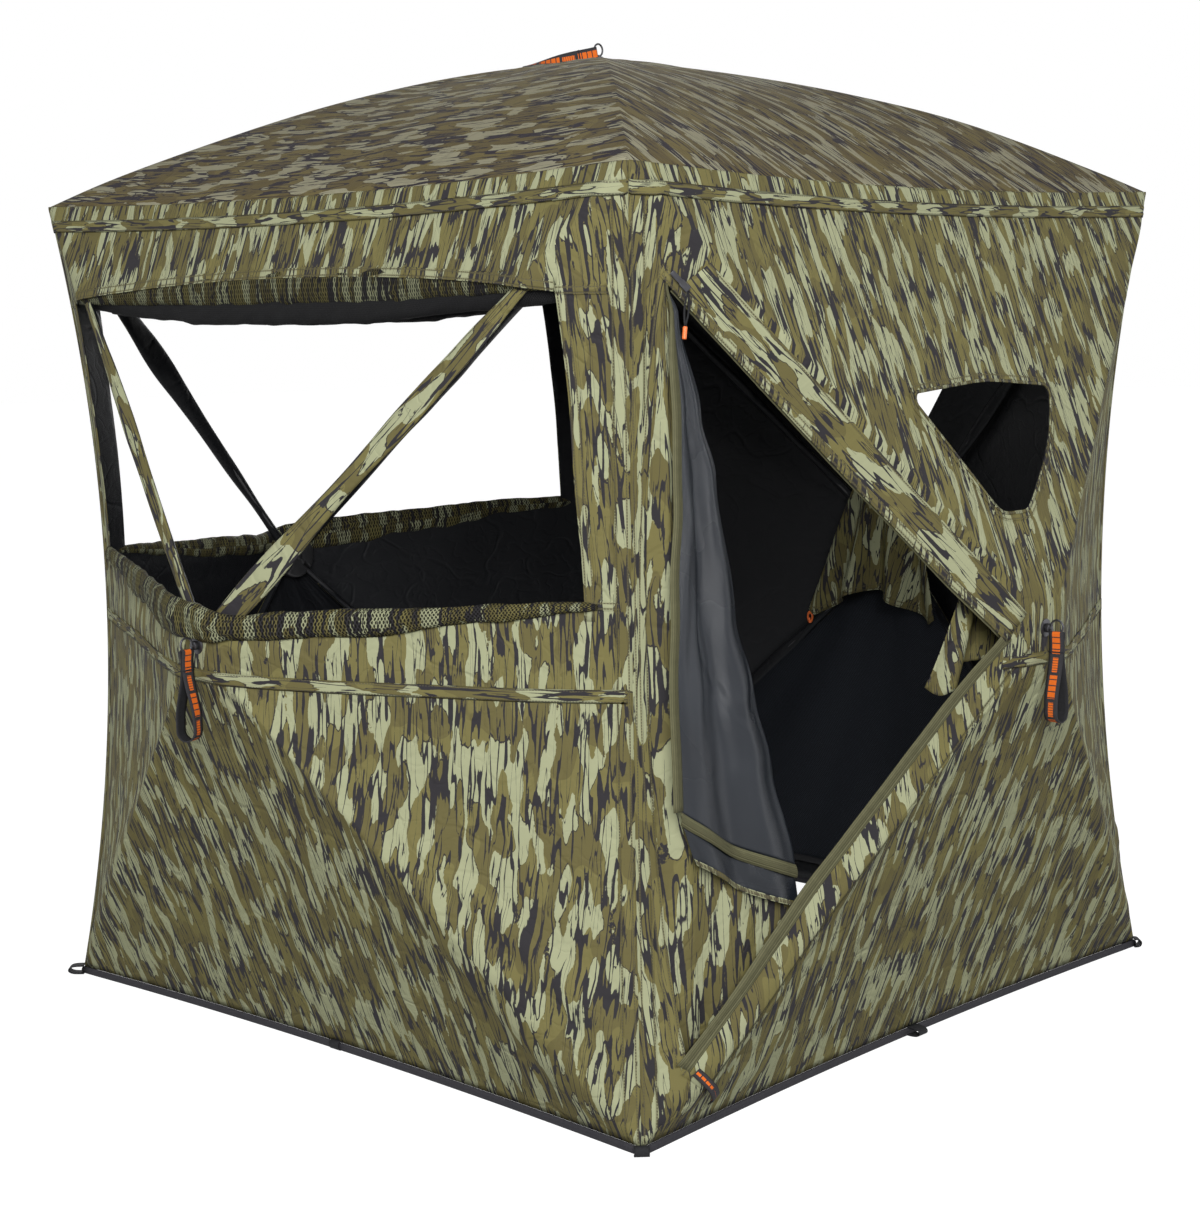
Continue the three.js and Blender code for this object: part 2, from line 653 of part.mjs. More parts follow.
function hemBody(cornerPockets) {
  const loop = (inset) => WALLS.flatMap(({ turn }) => steps.map((s) => {
    const side = HALF - inset;
    return new THREE.Vector2(s * side, -side + HEM_BOW * bow(s))
      .rotateAround(new THREE.Vector2(), turn * QUARTER);
  }));
  const band = new THREE.Shape(loop(0));
  band.holes.push(new THREE.Path(loop(HEM_WIDTH)));
  let body = solid(new THREE.ExtrudeGeometry(band, { depth: HEM_HEIGHT, bevelEnabled: false }));
  const tab = (distance, turn) => boxBetween(
    [-TAB_WIDTH / 2, -distance - TAB_LENGTH, 0],
    [TAB_WIDTH / 2, -distance + HEM_WIDTH / 2, TAB_THICKNESS],
  ).rotate([0, 0, turn]);
  for (const { turn } of WALLS) {
    body = body.add(tab(HALF - HEM_BOW, turn * 90));
    body = body.add(tab(HALF * Math.SQRT2 - HEM_WIDTH, turn * 90 + 45));
  }
  for (const pocket of cornerPockets) body = body.add(pocket);
  return body;
}

// ---------------------------------------------------------------- assembly

const blind = new THREE.Group();

const wallCorners = {
  top_left: new THREE.Vector3(-HALF, EAVE_HEIGHT - WALL_HUB_HEIGHT, -WALL_HUB_OUT),
  top_right: new THREE.Vector3(HALF, EAVE_HEIGHT - WALL_HUB_HEIGHT, -WALL_HUB_OUT),
  bottom_left: new THREE.Vector3(-HALF, BASE_HEIGHT - WALL_HUB_HEIGHT, -WALL_HUB_OUT),
  bottom_right: new THREE.Vector3(HALF, BASE_HEIGHT - WALL_HUB_HEIGHT, -WALL_HUB_OUT),
};
const wallSeats = Object.fromEntries(
  Object.entries(wallCorners).map(([place, corner]) => [place, poleSeat(corner, 0)]),
);
const roofDrop = EAVE_HEIGHT - ROOF_HEIGHT;
const roofCorners = {
  front_left: new THREE.Vector3(HALF, -HALF, roofDrop),
  front_right: new THREE.Vector3(HALF, HALF, roofDrop),
  back_right: new THREE.Vector3(-HALF, HALF, roofDrop),
  back_left: new THREE.Vector3(-HALF, -HALF, roofDrop),
};

const boltHole = new THREE.CylinderGeometry(BOLT_HOLE_R, BOLT_HOLE_R, HALF, SMALL_SIDES);
const plainWall = wallShell(0, -SKIN).subtract(
  solid(boltHole).translate([0, -HALF - WALL_HUB_OUT, WALL_HUB_HEIGHT]),
);
const wallBodies = {
  front: plainWall.subtract(throughWall(portOutline)).subtract(throughWall(doorOutline)),
  right: plainWall.subtract(throughWall(portOutline)),
  back: plainWall.subtract(throughWall(windowOutline)),
  left: plainWall.subtract(throughWall(windowOutline)),
};

const wallFrames = {};
for (const { name, turn } of WALLS) {
  const wall = new THREE.Group();
  wall.rotation.z = turn * QUARTER;
  const panel = hubSet(name, wallCorners, 0, 0);
  panel.position.set(0, -HALF - WALL_HUB_OUT, WALL_HUB_HEIGHT);
  panel.rotation.x = QUARTER;
  wall.add(named(`wall_${name}`, wallBodies[name], CAMO), panel);
  blind.add(wall);
  wallFrames[name] = { wall, panel };
}

const { front, right, back, left } = wallFrames;
left.wall.add(...panoramicWindow('left'));
back.wall.add(...panoramicWindow('back'));
front.wall.add(portFlap('front'));
right.wall.add(portFlap('right'));
front.wall.add(
  doorFlap(),
  zipTape(),
  zipSlider('zip_slider_upper', doorUpper, upperShift),
  zipSlider('zip_slider_lower', doorLower, lowerShift),
);
right.wall.add(gearPocket());

// the roof's strap slopes down with the fabric and ends just above it
const roofRun = HALF - EAVE_BOW - DISC_R;
const strapShare = (STRAP_LENGTH - DISC_R) / roofRun;
const roofFall = (EAVE_BOW - roofDrop) * strapShare - 4 * ROOF_BOW * strapShare * (1 - strapShare);
const strapFall = STRAP_PIVOT + roofFall - STRAP_BOTTOM_R - STRAP_THICKNESS - ROOF_STRAP_REST;
const roofStrapDroop = Math.asin(strapFall / STRAP_LENGTH);

// the roof's panel frame is turned so that its strap lies towards the left wall
const roofPanel = hubSet('roof', roofCorners, ROOF_BOW, roofStrapDroop);
roofPanel.position.z = ROOF_HEIGHT;
roofPanel.rotation.z = -QUARTER;
const roofHole = boltHole.clone().rotateX(QUARTER).translate(0, 0, ROOF_HEIGHT);
const roofSkin = shellBetween(roofNet(0), roofNet(-SKIN)).subtract(solid(roofHole));
blind.add(named('roof_skin', roofSkin, CAMO), roofPanel);

// the pole ends that meet at each corner, in the shelter's frame
blind.updateMatrixWorld(true);
const worldSeat = (panel, seat) => ({
  end: seat.end.clone().applyMatrix4(panel.matrixWorld),
  back: seat.back.clone().transformDirection(panel.matrixWorld),
});
const corners = [
  { name: 'front_left', x: -1, y: -1, walls: [[front, 'left'], [left, 'right']] },
  { name: 'front_right', x: 1, y: -1, walls: [[front, 'right'], [right, 'left']] },
  { name: 'back_right', x: 1, y: 1, walls: [[right, 'right'], [back, 'left']] },
  { name: 'back_left', x: -1, y: 1, walls: [[back, 'right'], [left, 'left']] },
];
const lowerPockets = [];
for (const { name, x, y, walls } of corners) {
  const upper = walls.map(([frame, side]) => worldSeat(frame.panel, wallSeats[`top_${side}`]));
  upper.push(worldSeat(roofPanel, poleSeat(roofCorners[name], ROOF_BOW)));
  const lower = walls.map(([frame, side]) => worldSeat(frame.panel, wallSeats[`bottom_${side}`]));
  const from = (inset, z) => new THREE.Vector3(x * (HALF - inset), y * (HALF - inset), z);
  const pocket = pocketBody(upper, from(KNUCKLE_INSET, EAVE_HEIGHT - KNUCKLE_INSET));
  blind.add(named(`corner_pocket_${name}`, pocket, BLACK_WEBBING));
  lowerPockets.push(pocketBody(lower, from(HEM_KNUCKLE_INSET, BASE_HEIGHT + HEM_KNUCKLE_RISE)));
}
blind.add(named('ground_hem', hemBody(lowerPockets), BLACK_WEBBING));

export default blind;
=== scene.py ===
"""A pop up ground blind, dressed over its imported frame.

Lengths are metres. What belongs to one wall is made in the front wall's place, facing -Y, and is
turned into its own place when it is finished."""
import json
import math

import bpy
from mathutils import Matrix, Vector, noise
from mathutils.bvhtree import BVHTree
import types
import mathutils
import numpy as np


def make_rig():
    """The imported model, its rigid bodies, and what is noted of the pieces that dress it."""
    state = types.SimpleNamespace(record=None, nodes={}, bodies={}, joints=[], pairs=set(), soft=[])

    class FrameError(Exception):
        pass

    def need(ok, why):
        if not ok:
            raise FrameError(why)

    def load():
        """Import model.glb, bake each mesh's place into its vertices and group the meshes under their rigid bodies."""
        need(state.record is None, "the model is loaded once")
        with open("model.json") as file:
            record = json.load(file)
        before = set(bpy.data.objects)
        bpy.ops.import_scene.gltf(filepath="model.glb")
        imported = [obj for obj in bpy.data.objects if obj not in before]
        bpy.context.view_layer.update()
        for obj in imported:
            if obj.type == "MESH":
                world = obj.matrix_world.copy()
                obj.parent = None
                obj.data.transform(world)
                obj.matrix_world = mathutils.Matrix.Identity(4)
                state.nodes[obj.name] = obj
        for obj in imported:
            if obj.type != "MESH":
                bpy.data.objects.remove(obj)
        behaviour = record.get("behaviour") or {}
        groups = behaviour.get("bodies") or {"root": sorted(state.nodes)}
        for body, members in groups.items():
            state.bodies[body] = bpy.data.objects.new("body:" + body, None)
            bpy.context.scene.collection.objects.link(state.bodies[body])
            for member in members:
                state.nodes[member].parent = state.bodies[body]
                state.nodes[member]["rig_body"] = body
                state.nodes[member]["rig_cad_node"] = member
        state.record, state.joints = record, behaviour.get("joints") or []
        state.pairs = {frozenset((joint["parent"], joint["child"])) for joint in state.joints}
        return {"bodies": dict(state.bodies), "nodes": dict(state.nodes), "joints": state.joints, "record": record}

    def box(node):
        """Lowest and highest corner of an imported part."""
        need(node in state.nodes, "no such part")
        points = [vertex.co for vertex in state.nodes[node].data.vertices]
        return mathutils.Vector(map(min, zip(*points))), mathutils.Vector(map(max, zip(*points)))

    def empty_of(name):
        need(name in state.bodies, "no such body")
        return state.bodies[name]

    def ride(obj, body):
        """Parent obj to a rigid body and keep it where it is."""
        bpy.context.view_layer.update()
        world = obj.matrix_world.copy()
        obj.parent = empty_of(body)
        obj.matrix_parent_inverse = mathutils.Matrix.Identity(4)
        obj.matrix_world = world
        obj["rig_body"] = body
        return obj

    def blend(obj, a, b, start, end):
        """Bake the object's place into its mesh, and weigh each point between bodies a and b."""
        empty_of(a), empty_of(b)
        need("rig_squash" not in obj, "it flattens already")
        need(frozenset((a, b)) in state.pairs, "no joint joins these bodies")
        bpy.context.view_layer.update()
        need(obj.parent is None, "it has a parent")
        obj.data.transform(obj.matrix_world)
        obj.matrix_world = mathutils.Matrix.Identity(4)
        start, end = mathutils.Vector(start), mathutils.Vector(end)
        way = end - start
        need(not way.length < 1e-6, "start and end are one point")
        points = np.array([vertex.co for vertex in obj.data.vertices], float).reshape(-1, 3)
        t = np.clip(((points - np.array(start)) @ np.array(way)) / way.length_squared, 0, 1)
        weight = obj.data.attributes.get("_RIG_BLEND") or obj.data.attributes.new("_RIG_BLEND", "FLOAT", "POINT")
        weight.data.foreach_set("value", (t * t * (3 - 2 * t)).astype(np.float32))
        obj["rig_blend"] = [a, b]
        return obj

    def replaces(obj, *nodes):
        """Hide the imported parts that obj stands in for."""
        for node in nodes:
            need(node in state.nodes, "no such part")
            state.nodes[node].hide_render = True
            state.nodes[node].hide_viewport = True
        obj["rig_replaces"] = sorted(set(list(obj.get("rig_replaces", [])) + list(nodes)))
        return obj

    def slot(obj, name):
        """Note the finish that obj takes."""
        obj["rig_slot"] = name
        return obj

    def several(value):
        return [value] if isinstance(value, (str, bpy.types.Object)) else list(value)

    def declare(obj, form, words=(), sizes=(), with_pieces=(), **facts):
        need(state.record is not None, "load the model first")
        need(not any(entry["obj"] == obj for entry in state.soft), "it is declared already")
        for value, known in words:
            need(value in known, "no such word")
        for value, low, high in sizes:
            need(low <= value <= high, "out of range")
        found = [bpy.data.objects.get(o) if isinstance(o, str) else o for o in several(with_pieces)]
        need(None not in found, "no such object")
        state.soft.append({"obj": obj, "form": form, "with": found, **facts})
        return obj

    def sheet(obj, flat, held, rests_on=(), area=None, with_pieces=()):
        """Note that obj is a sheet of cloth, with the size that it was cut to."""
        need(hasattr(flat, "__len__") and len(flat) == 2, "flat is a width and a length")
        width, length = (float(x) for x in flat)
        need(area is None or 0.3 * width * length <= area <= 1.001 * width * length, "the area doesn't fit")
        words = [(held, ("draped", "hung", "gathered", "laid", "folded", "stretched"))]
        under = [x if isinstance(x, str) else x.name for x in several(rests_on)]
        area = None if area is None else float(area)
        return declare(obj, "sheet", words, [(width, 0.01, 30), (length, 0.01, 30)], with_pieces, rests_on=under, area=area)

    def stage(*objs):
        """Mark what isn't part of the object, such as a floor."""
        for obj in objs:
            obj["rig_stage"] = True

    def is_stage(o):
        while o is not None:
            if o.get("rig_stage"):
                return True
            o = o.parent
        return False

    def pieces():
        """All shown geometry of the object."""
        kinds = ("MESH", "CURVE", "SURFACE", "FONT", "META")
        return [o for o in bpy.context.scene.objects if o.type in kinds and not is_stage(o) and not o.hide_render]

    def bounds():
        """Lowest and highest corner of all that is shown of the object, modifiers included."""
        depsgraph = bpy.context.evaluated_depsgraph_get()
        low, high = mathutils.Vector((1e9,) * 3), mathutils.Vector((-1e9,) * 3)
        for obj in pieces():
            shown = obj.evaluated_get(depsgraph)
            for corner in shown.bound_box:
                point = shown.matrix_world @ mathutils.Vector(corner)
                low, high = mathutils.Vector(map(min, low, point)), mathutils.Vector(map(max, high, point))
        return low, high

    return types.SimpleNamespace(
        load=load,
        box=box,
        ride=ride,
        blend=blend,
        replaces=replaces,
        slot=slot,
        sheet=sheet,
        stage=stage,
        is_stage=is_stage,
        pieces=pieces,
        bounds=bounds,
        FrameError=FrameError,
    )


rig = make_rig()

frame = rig.load()
cad_box = [list(corner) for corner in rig.bounds()]

# ---------------------------------------------------------------- sizes

wall_low, wall_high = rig.box("wall_front")
HALF = wall_high.x  # half the side of the square that the hem stands on
BASE = wall_low.z
EAVE = wall_high.z
APEX = -wall_low.y  # how far the cloth over a wall's hub stands out
ROOF_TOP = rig.box("roof_skin")[1].z
HUB_Z = sum(corner.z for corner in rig.box("hub_front")) / 2
DISC_R = 0.051  # flat round of cloth pressed against a hub
DISC_SHARE = 0.05  # the part of a panel's rings of faces that lies on that round

SEAM_BOW = 0.053  # pull-in of an upright seam at mid height
EAVE_BOW = 0.014  # dip and pull-in of an eave at its middle
HEM_BOW = 0.025  # pull-in of the hem at the middle of a side
ROOF_BOW = 0.045  # rise of the roof's poles and cloth over a straight line
CLOTH = 0.0005  # thickness of a layer
LINING_GAP = 0.0012  # from the outer face of a cloth to that of its lining
TRIM_RISE = 0.0016  # how far outside the cloth its trims count as lying when it moves
LAG = 0.011  # the cloth trails its hub a little, so that it stays outside the straight poles
WAIST = 0.765  # height of the slack above a wall's waist band

WINDOW_HEAD = 1.303
WINDOW_SILL = 0.812
WINDOW_HALF = 0.615
WINDOW_ARCH = 0.034  # how far the valance's lower edge rises over the middle of a window
WINDOW_STEPS = 12  # points of its outline for each half of a long edge
PORT_HEAD = 1.146
PORT_SILL = 0.937
DOOR_HINGE = -0.664
HINGE_SEAM = DOOR_HINGE - 0.004
DOOR_TOP = 1.318
DOOR_BOTTOM = 0.137
DOOR_TIP = (-0.100, 0.744)

TURNS = {"front": 0, "right": 1, "back": 2, "left": 3}  # quarters from the front wall's place
WINDOW_WALLS = ("left", "back")
CORNERS = ("front_left", "front_right", "back_right", "back_left")

# ---------------------------------------------------------------- camera

CAMERA_AT = (-3.116, -2.893, 1.260)
CAMERA_TURNS = ((-46.92, "Z"), (90 - 7.35, "X"), (-0.90, "Z"))  # degrees: heading, dip and roll
CAMERA_LENS = 65.63  # millimetres, for a sensor 36 wide


def aim_camera():
    data = bpy.data.cameras.new("camera")
    camera = bpy.data.objects.new("camera", data)
    bpy.context.scene.collection.objects.link(camera)
    data.lens = CAMERA_LENS
    data.sensor_width = 36
    placing = Matrix.Translation(CAMERA_AT)
    for angle, axis in CAMERA_TURNS:
        placing = placing @ Matrix.Rotation(math.radians(angle), 4, axis)
    camera.matrix_world = placing
    bpy.context.scene.camera = camera


aim_camera()

# ---------------------------------------------------------------- shader tools


class Signal:
    """A shader value. Arithmetic on it adds Math nodes to its material."""

    def __init__(self, finish, socket):
        self.finish, self.socket = finish, socket

    def math(self, operation, *operands):
        return self.finish.node("ShaderNodeMath", {"operation": operation}, dict(enumerate(operands)))

    def __add__(self, other):
        return self.math("ADD", self, other)

    def __sub__(self, other):
        return self.math("SUBTRACT", self, other)

    def __mul__(self, other):
        return self.math("MULTIPLY", self, other)

    def __truediv__(self, other):
        return self.math("DIVIDE", self, other)

    def __gt__(self, other):
        return self.math("GREATER_THAN", self, other)

    def __lt__(self, other):
        return self.math("LESS_THAN", self, other)

    def __rsub__(self, other):
        return self.math("SUBTRACT", other, self)

    def __abs__(self):
        return self.math("ABSOLUTE", self)

    __radd__ = __add__
    __rmul__ = __mul__

    def sine(self):
        return self.math("SINE", self)

    def fract(self):
        return self.math("FRACT", self)

    def ribs(self, rate):
        """Even ribs from 0 to 1, for a length in metres and rate radians to the metre."""
        return (self * rate).sine() * 0.5 + 0.5

    def ramp(self, low, high):
        """0 below low and 1 above high, with a soft step between them."""
        return self.finish.node(
            "ShaderNodeMapRange", {"interpolation_type": "SMOOTHSTEP"}, {0: self, 1: low, 2: high}
        )


class Nodes:
    """The nodes of a material or of the world."""

    def __init__(self, tree):
        self.tree = tree

    def plug(self, socket, value):
        if isinstance(value, Signal):
            self.tree.links.new(value.socket, socket)
        else:
            socket.default_value = value

    def node(self, kind, settings, sockets, output=0):
        node = self.tree.nodes.new(kind)
        for key, value in settings.items():
            setattr(node, key, value)
        for key, value in sockets.items():
            self.plug(node.inputs[key], value)
        return Signal(self, node.outputs[output])

    def end_by_sight(self, unseen, seen, end):
        """Ends the tree in one shader where it is looked at, straight or in a mirror or through
        glass, and in another where it only lights other things."""
        camera, glossy, through = (
            self.node("ShaderNodeLightPath", {}, {}, f"Is {kind} Ray")
            for kind in ("Camera", "Glossy", "Transmission")
        )
        sockets = {0: camera + glossy + through, 1: unseen, 2: seen}
        self.plug(self.tree.nodes[end].inputs[0], self.node("ShaderNodeMixShader", {}, sockets))


class Finish(Nodes):
    """One material: its nodes and its shader."""

    def __init__(self, name, colour, roughness, **constants):
        self.material = bpy.data.materials.new(name)
        self.material.use_nodes = True
        super().__init__(self.material.node_tree)
        self.shader = self.tree.nodes["Principled BSDF"]
        self.feed("Base Color", (*colour, 1))
        self.feed("Roughness", roughness)
        for socket, value in constants.items():
            self.feed(socket.replace("_", " "), value)

    def feed(self, socket, value):
        self.plug(self.shader.inputs[socket], value)

    def uv(self, name):
        return self.node("ShaderNodeUVMap", {"uv_map": name}, {})

    def place(self):
        return self.node("ShaderNodeTexCoord", {}, {}, "Object")

    def stretch(self, vector, scale, shift=(0, 0, 0)):
        return self.node("ShaderNodeMapping", {}, {"Vector": vector, "Scale": scale, "Location": shift})

    def split(self, vector):
        return [self.node("ShaderNodeSeparateXYZ", {}, {0: vector}, axis) for axis in range(3)]

    def noise(self, vector, scale, detail=2.0, roughness=0.5):
        sockets = {"Vector": vector, "Scale": scale, "Detail": detail, "Roughness": roughness}
        return self.node("ShaderNodeTexNoise", {}, sockets)

    def warp(self, vector, scale, amount):
        """Moves a vector about by a soft noise."""
        sway = self.node("ShaderNodeTexNoise", {}, {"Vector": vector, "Scale": scale, "Detail": 2.0}, 1)
        centred = self.node("ShaderNodeVectorMath", {"operation": "SUBTRACT"}, {0: sway, 1: (0.5,) * 3})
        scaled = self.node("ShaderNodeVectorMath", {"operation": "SCALE"}, {0: centred, "Scale": amount})
        return self.node("ShaderNodeVectorMath", {"operation": "ADD"}, {0: vector, 1: scaled})

    def mix(self, share, low, high):
        """Colour low where share is 0 and high where it is 1."""
        sockets = {0: share}
        for key, colour in ((6, low), (7, high)):  # the mix's two colour sockets
            sockets[key] = colour if isinstance(colour, Signal) else (*colour, 1)
        return self.node("ShaderNodeMix", {"data_type": "RGBA"}, sockets, 2)

    def bump(self, height, distance):
        """Raises the surface by height times distance."""
        inputs = {"Height": height, "Distance": distance, "Strength": 1.0}
        self.feed("Normal", self.node("ShaderNodeBump", {}, inputs))


# ---------------------------------------------------------------- finishes

PALE = (0.340, 0.352, 0.215)
OLIVE = (0.165, 0.146, 0.056)
UMBER = (0.128, 0.111, 0.045)
CHARCOAL = (0.030, 0.028, 0.031)
ORANGE = (0.83, 0.165, 0.015)
STITCH = 0.0046
THREAD_HALF = 0.0007
SEAM_ROW = 0.0028  # from a seam's edge to its stitches
BAND_ROW = 0.0022


def camouflage(finish, grain, shade=(1, 1, 1)):
    """Streaked camouflage along the second axis of grain, in metres. Gives its colour. shade scales its dyes, and
    below 1 that darkening is painted shade.
    """
    pale, olive, umber, charcoal = (
        [part * tone for part, tone in zip(dye, shade)] for dye in (PALE, OLIVE, UMBER, CHARCOAL)
    )
    ragged = finish.noise(finish.stretch(grain, (1, 0.6, 1)), 210, 2, 0.6) - 0.5
    long = finish.warp(finish.stretch(grain, (1, 0.25, 1)), 30, 0.013)
    streak = finish.noise(long, 42, 1.2, 0.4) + ragged * 0.055
    patch = streak.ramp(0.524, 0.530)
    blotch = finish.noise(finish.stretch(grain, (1, 0.5, 1), (3.1, 0, 0)), 19, 1).ramp(0.52, 0.53)
    thin = finish.warp(finish.stretch(grain, (1, 0.085, 1), (0, 7.7, 0)), 44, 0.006)
    line = abs(finish.noise(thin, 84, 1.2, 0.5) - 0.5)
    weight = finish.noise(finish.stretch(grain, (1, 0.33, 1), (5, 5, 0)), 40, 1)
    reach = weight.math("MINIMUM", (weight - 0.40) * 0.27, 0.040)
    crack = 1 - (line + ragged * 0.030 - reach).ramp(0.0, 0.009)
    split = finish.warp(finish.stretch(grain, (1, 0.06, 1), (8, 2.3, 0)), 60, 0.004)
    hair = 1 - (abs(finish.noise(split, 105, 1, 0.4) - 0.5) + ragged * 0.02).ramp(0.004, 0.014)
    crack = crack.math("MAXIMUM", crack, hair * (weight < 0.53))
    rim = 1 - abs(streak - 0.516).ramp(0.004, 0.010)
    dark = crack.math("MAXIMUM", crack, rim * (weight > 0.50))
    colour = finish.mix(patch, finish.mix(blotch, umber, olive), pale)
    return finish.mix(dark, colour, charcoal)


def weave(finish, grain, pitch=0.0009):
    """Height of a plain weave, from 0 to 1."""
    across, along, _ = finish.split(grain)
    turns = 2 * math.pi / pitch
    return (across * turns).sine() * (along * turns).sine() * 0.5 + 0.5


def creases(finish, grain):
    """Height of the shallow creases that folded cloth keeps, from 0 to about 1."""
    soft = finish.warp(grain, 6, 0.06)
    fold = abs(finish.noise(soft, 9, 1) - 0.5).ramp(0.0, 0.035)
    fine = abs(finish.noise(finish.stretch(soft, (1, 1, 1), (9, 2, 0)), 22, 2) - 0.5).ramp(0.0, 0.06)
    return fold * 0.6 + fine * 0.3 + finish.noise(grain, 60, 2) * 0.25


def folds(finish, grain):
    """Height of long soft folds along the second axis of grain, crossed by a few slanting ones."""
    soft = finish.warp(finish.stretch(grain, (1, 0.22, 1)), 4, 0.08)
    sockets = {"Vector": grain, "Rotation": (0, 0, 0.9), "Scale": (1, 0.3, 1)}
    slant = finish.node("ShaderNodeMapping", {}, sockets)
    cross = abs(finish.noise(finish.warp(slant, 5, 0.05), 5, 0.5) - 0.5).ramp(0.0, 0.03)
    return finish.noise(soft, 16, 1.5, 0.4) * 1.6 + cross * 0.35


def stitches(finish, row):
    """Where the thread of a row of stitches shows, row metres from a strip's edges. Gives that and
    the map run's two axes: the length along the strip and the distance from its edge."""
    along, inset, _ = finish.split(finish.uv("run"))
    beat = (along / STITCH).fract()
    dash = (beat > 0.28) * (beat < 0.95)
    return (abs(inset - row) < THREAD_HALF) * dash, along, inset


def camo_cloth(name, shade):
    finish = Finish(name, OLIVE, 0.72, Specular_IOR_Level=0.10)
    grain = finish.uv("cloth")
    finish.feed("Base Color", camouflage(finish, grain, shade))
    finish.bump(creases(finish, grain) + weave(finish, grain) * 0.05, 0.0017)
    return finish.material


def camo_seam():
    """Felled seams and facings: the printed cloth with a row of stitches inside each edge."""
    finish = Finish("camo_seam", OLIVE, 0.74, Specular_IOR_Level=0.10)
    grain = finish.uv("cloth")
    thread, _, inset = stitches(finish, SEAM_ROW)
    pucker = finish.noise(finish.stretch(finish.uv("run"), (1, 0.3, 1)), 110, 1)
    groove = abs(inset - SEAM_ROW).ramp(0.0002, 0.0026)
    # Along the stitches' groove the cloth is darkened towards umber: painted shade.
    colour = finish.mix((1 - groove) * 0.45, camouflage(finish, grain), UMBER)
    finish.feed("Base Color", finish.mix(thread, colour, (0.10, 0.09, 0.055)))
    finish.bump(groove * 0.7 + pucker * 0.8 + thread * 0.35 + weave(finish, grain) * 0.06, 0.0012)
    return finish.material


def camo_webbing():
    """Narrow printed webbing with a close diagonal rib."""
    finish = Finish("camo_webbing", OLIVE, 0.75, Specular_IOR_Level=0.10)
    grain = finish.uv("cloth")
    thread, along, inset = stitches(finish, BAND_ROW)
    colour = camouflage(finish, finish.stretch(grain, (1.25, 1.25, 1)))
    finish.feed("Base Color", finish.mix(thread * 0.8, colour, (0.09, 0.08, 0.055)))
    rib = (along * 3100.0 + inset * 3100.0).sine() * 0.5 + 0.5
    edge = inset.ramp(0.0, 0.0016)
    finish.bump(rib * 0.12 + edge * 0.9 + thread * 0.3, 0.0009)
    return finish.material


def coated_cloth():
    """The dark coating on the inner side of the walls."""
    finish = Finish("coated_cloth", (0.0075, 0.0080, 0.0095), 0.42, Specular_IOR_Level=0.14)
    grain = finish.uv("cloth")
    finish.bump(creases(finish, grain) + weave(finish, grain, 0.0012) * 0.1, 0.0012)
    return finish.material


def satin_lining():
    """The door's inner side, which catches the light."""
    finish = Finish("satin_lining", (0.018, 0.021, 0.027), 0.28, Specular_IOR_Level=0.34)
    grain = finish.uv("cloth")
    tone = finish.noise(grain, 5, 2)
    finish.feed("Base Color", finish.mix(tone, (0.009, 0.011, 0.015), (0.020, 0.024, 0.031)))
    finish.feed("Roughness", 0.22 + tone * 0.14)
    finish.bump(folds(finish, grain) + weave(finish, grain, 0.0012) * 0.03, 0.0046)
    return finish.material


def net_holes(finish, grain, pitch):
    """1 in a net's holes and 0 on its cords."""
    across, along, _ = finish.split(grain)
    turns = math.pi / pitch
    first = (across + along * 0.8) * turns
    second = (across - along * 0.8) * turns
    return (abs(first.sine()) * abs(second.sine())).ramp(0.30, 0.62)


def printed_net(name, tone):
    """Net in the cloth's print, dimmed by tone where less light comes through its layers."""
    finish = Finish(name, UMBER, 0.8, Specular_IOR_Level=0.08)
    grain = finish.uv("cloth")
    hole = net_holes(finish, grain, 0.0056)
    colour = camouflage(finish, grain, (tone,) * 3)
    # The holes are painted near-black: painted shade of the roll's dark inside, seen through them.
    finish.feed("Base Color", finish.mix(hole * 0.94, colour, (0.006, 0.006, 0.005)))
    finish.bump((1 - hole) * 0.8 + finish.noise(grain, 40, 2) * 0.6, 0.0012)
    return finish.material


def plain_net(name, cord, pitch):
    finish = Finish(name, cord, 0.72, Specular_IOR_Level=0.12)
    grain = finish.uv("cloth")
    hole = net_holes(finish, grain, pitch)
    fleck = finish.noise(grain, 420, 1).ramp(0.62, 0.72)
    thread = finish.mix(fleck * 0.6, cord, [2.6 * c for c in cord])
    # The holes are painted near-black: painted shade of the dark inside, seen through the net.
    finish.feed("Base Color", finish.mix(hole, thread, (0.002, 0.002, 0.002)))
    finish.bump((1 - hole) + finish.noise(grain, 30, 2) * 0.8, 0.0010)
    return finish.material


def ribbed_webbing(name, colour, orange=False):
    """Woven webbing. Its printed marks are plain bars and dots of no lettering."""
    finish = Finish(name, colour, 0.75, Specular_IOR_Level=0.15)
    along, inset, _ = finish.split(finish.uv("run"))
    rib, cord = along.ribs(4200.0), inset.ribs(2600.0)
    tone = finish.noise(finish.uv("run"), 300, 2)
    shade = finish.mix(tone, [0.7 * c for c in colour], [1.35 * c for c in colour])
    if orange:
        stretch, wide, close = ((along / pitch).fract() for pitch in (0.074, 0.0100, 0.0041))
        blocks = (wide > 0.18) * (stretch < 0.52) * (inset > 0.0058)
        dashes = (close > 0.22) * (stretch > 0.60) * (stretch < 0.93) * (inset > 0.0078)
        shade = finish.mix((blocks + dashes) * (0.75 + rib * 0.25), shade, ORANGE)
    finish.feed("Base Color", shade)
    finish.bump(rib * 0.5 + cord * 0.5 + inset.ramp(0, 0.0012) * 0.8, 0.0005)
    return finish.material


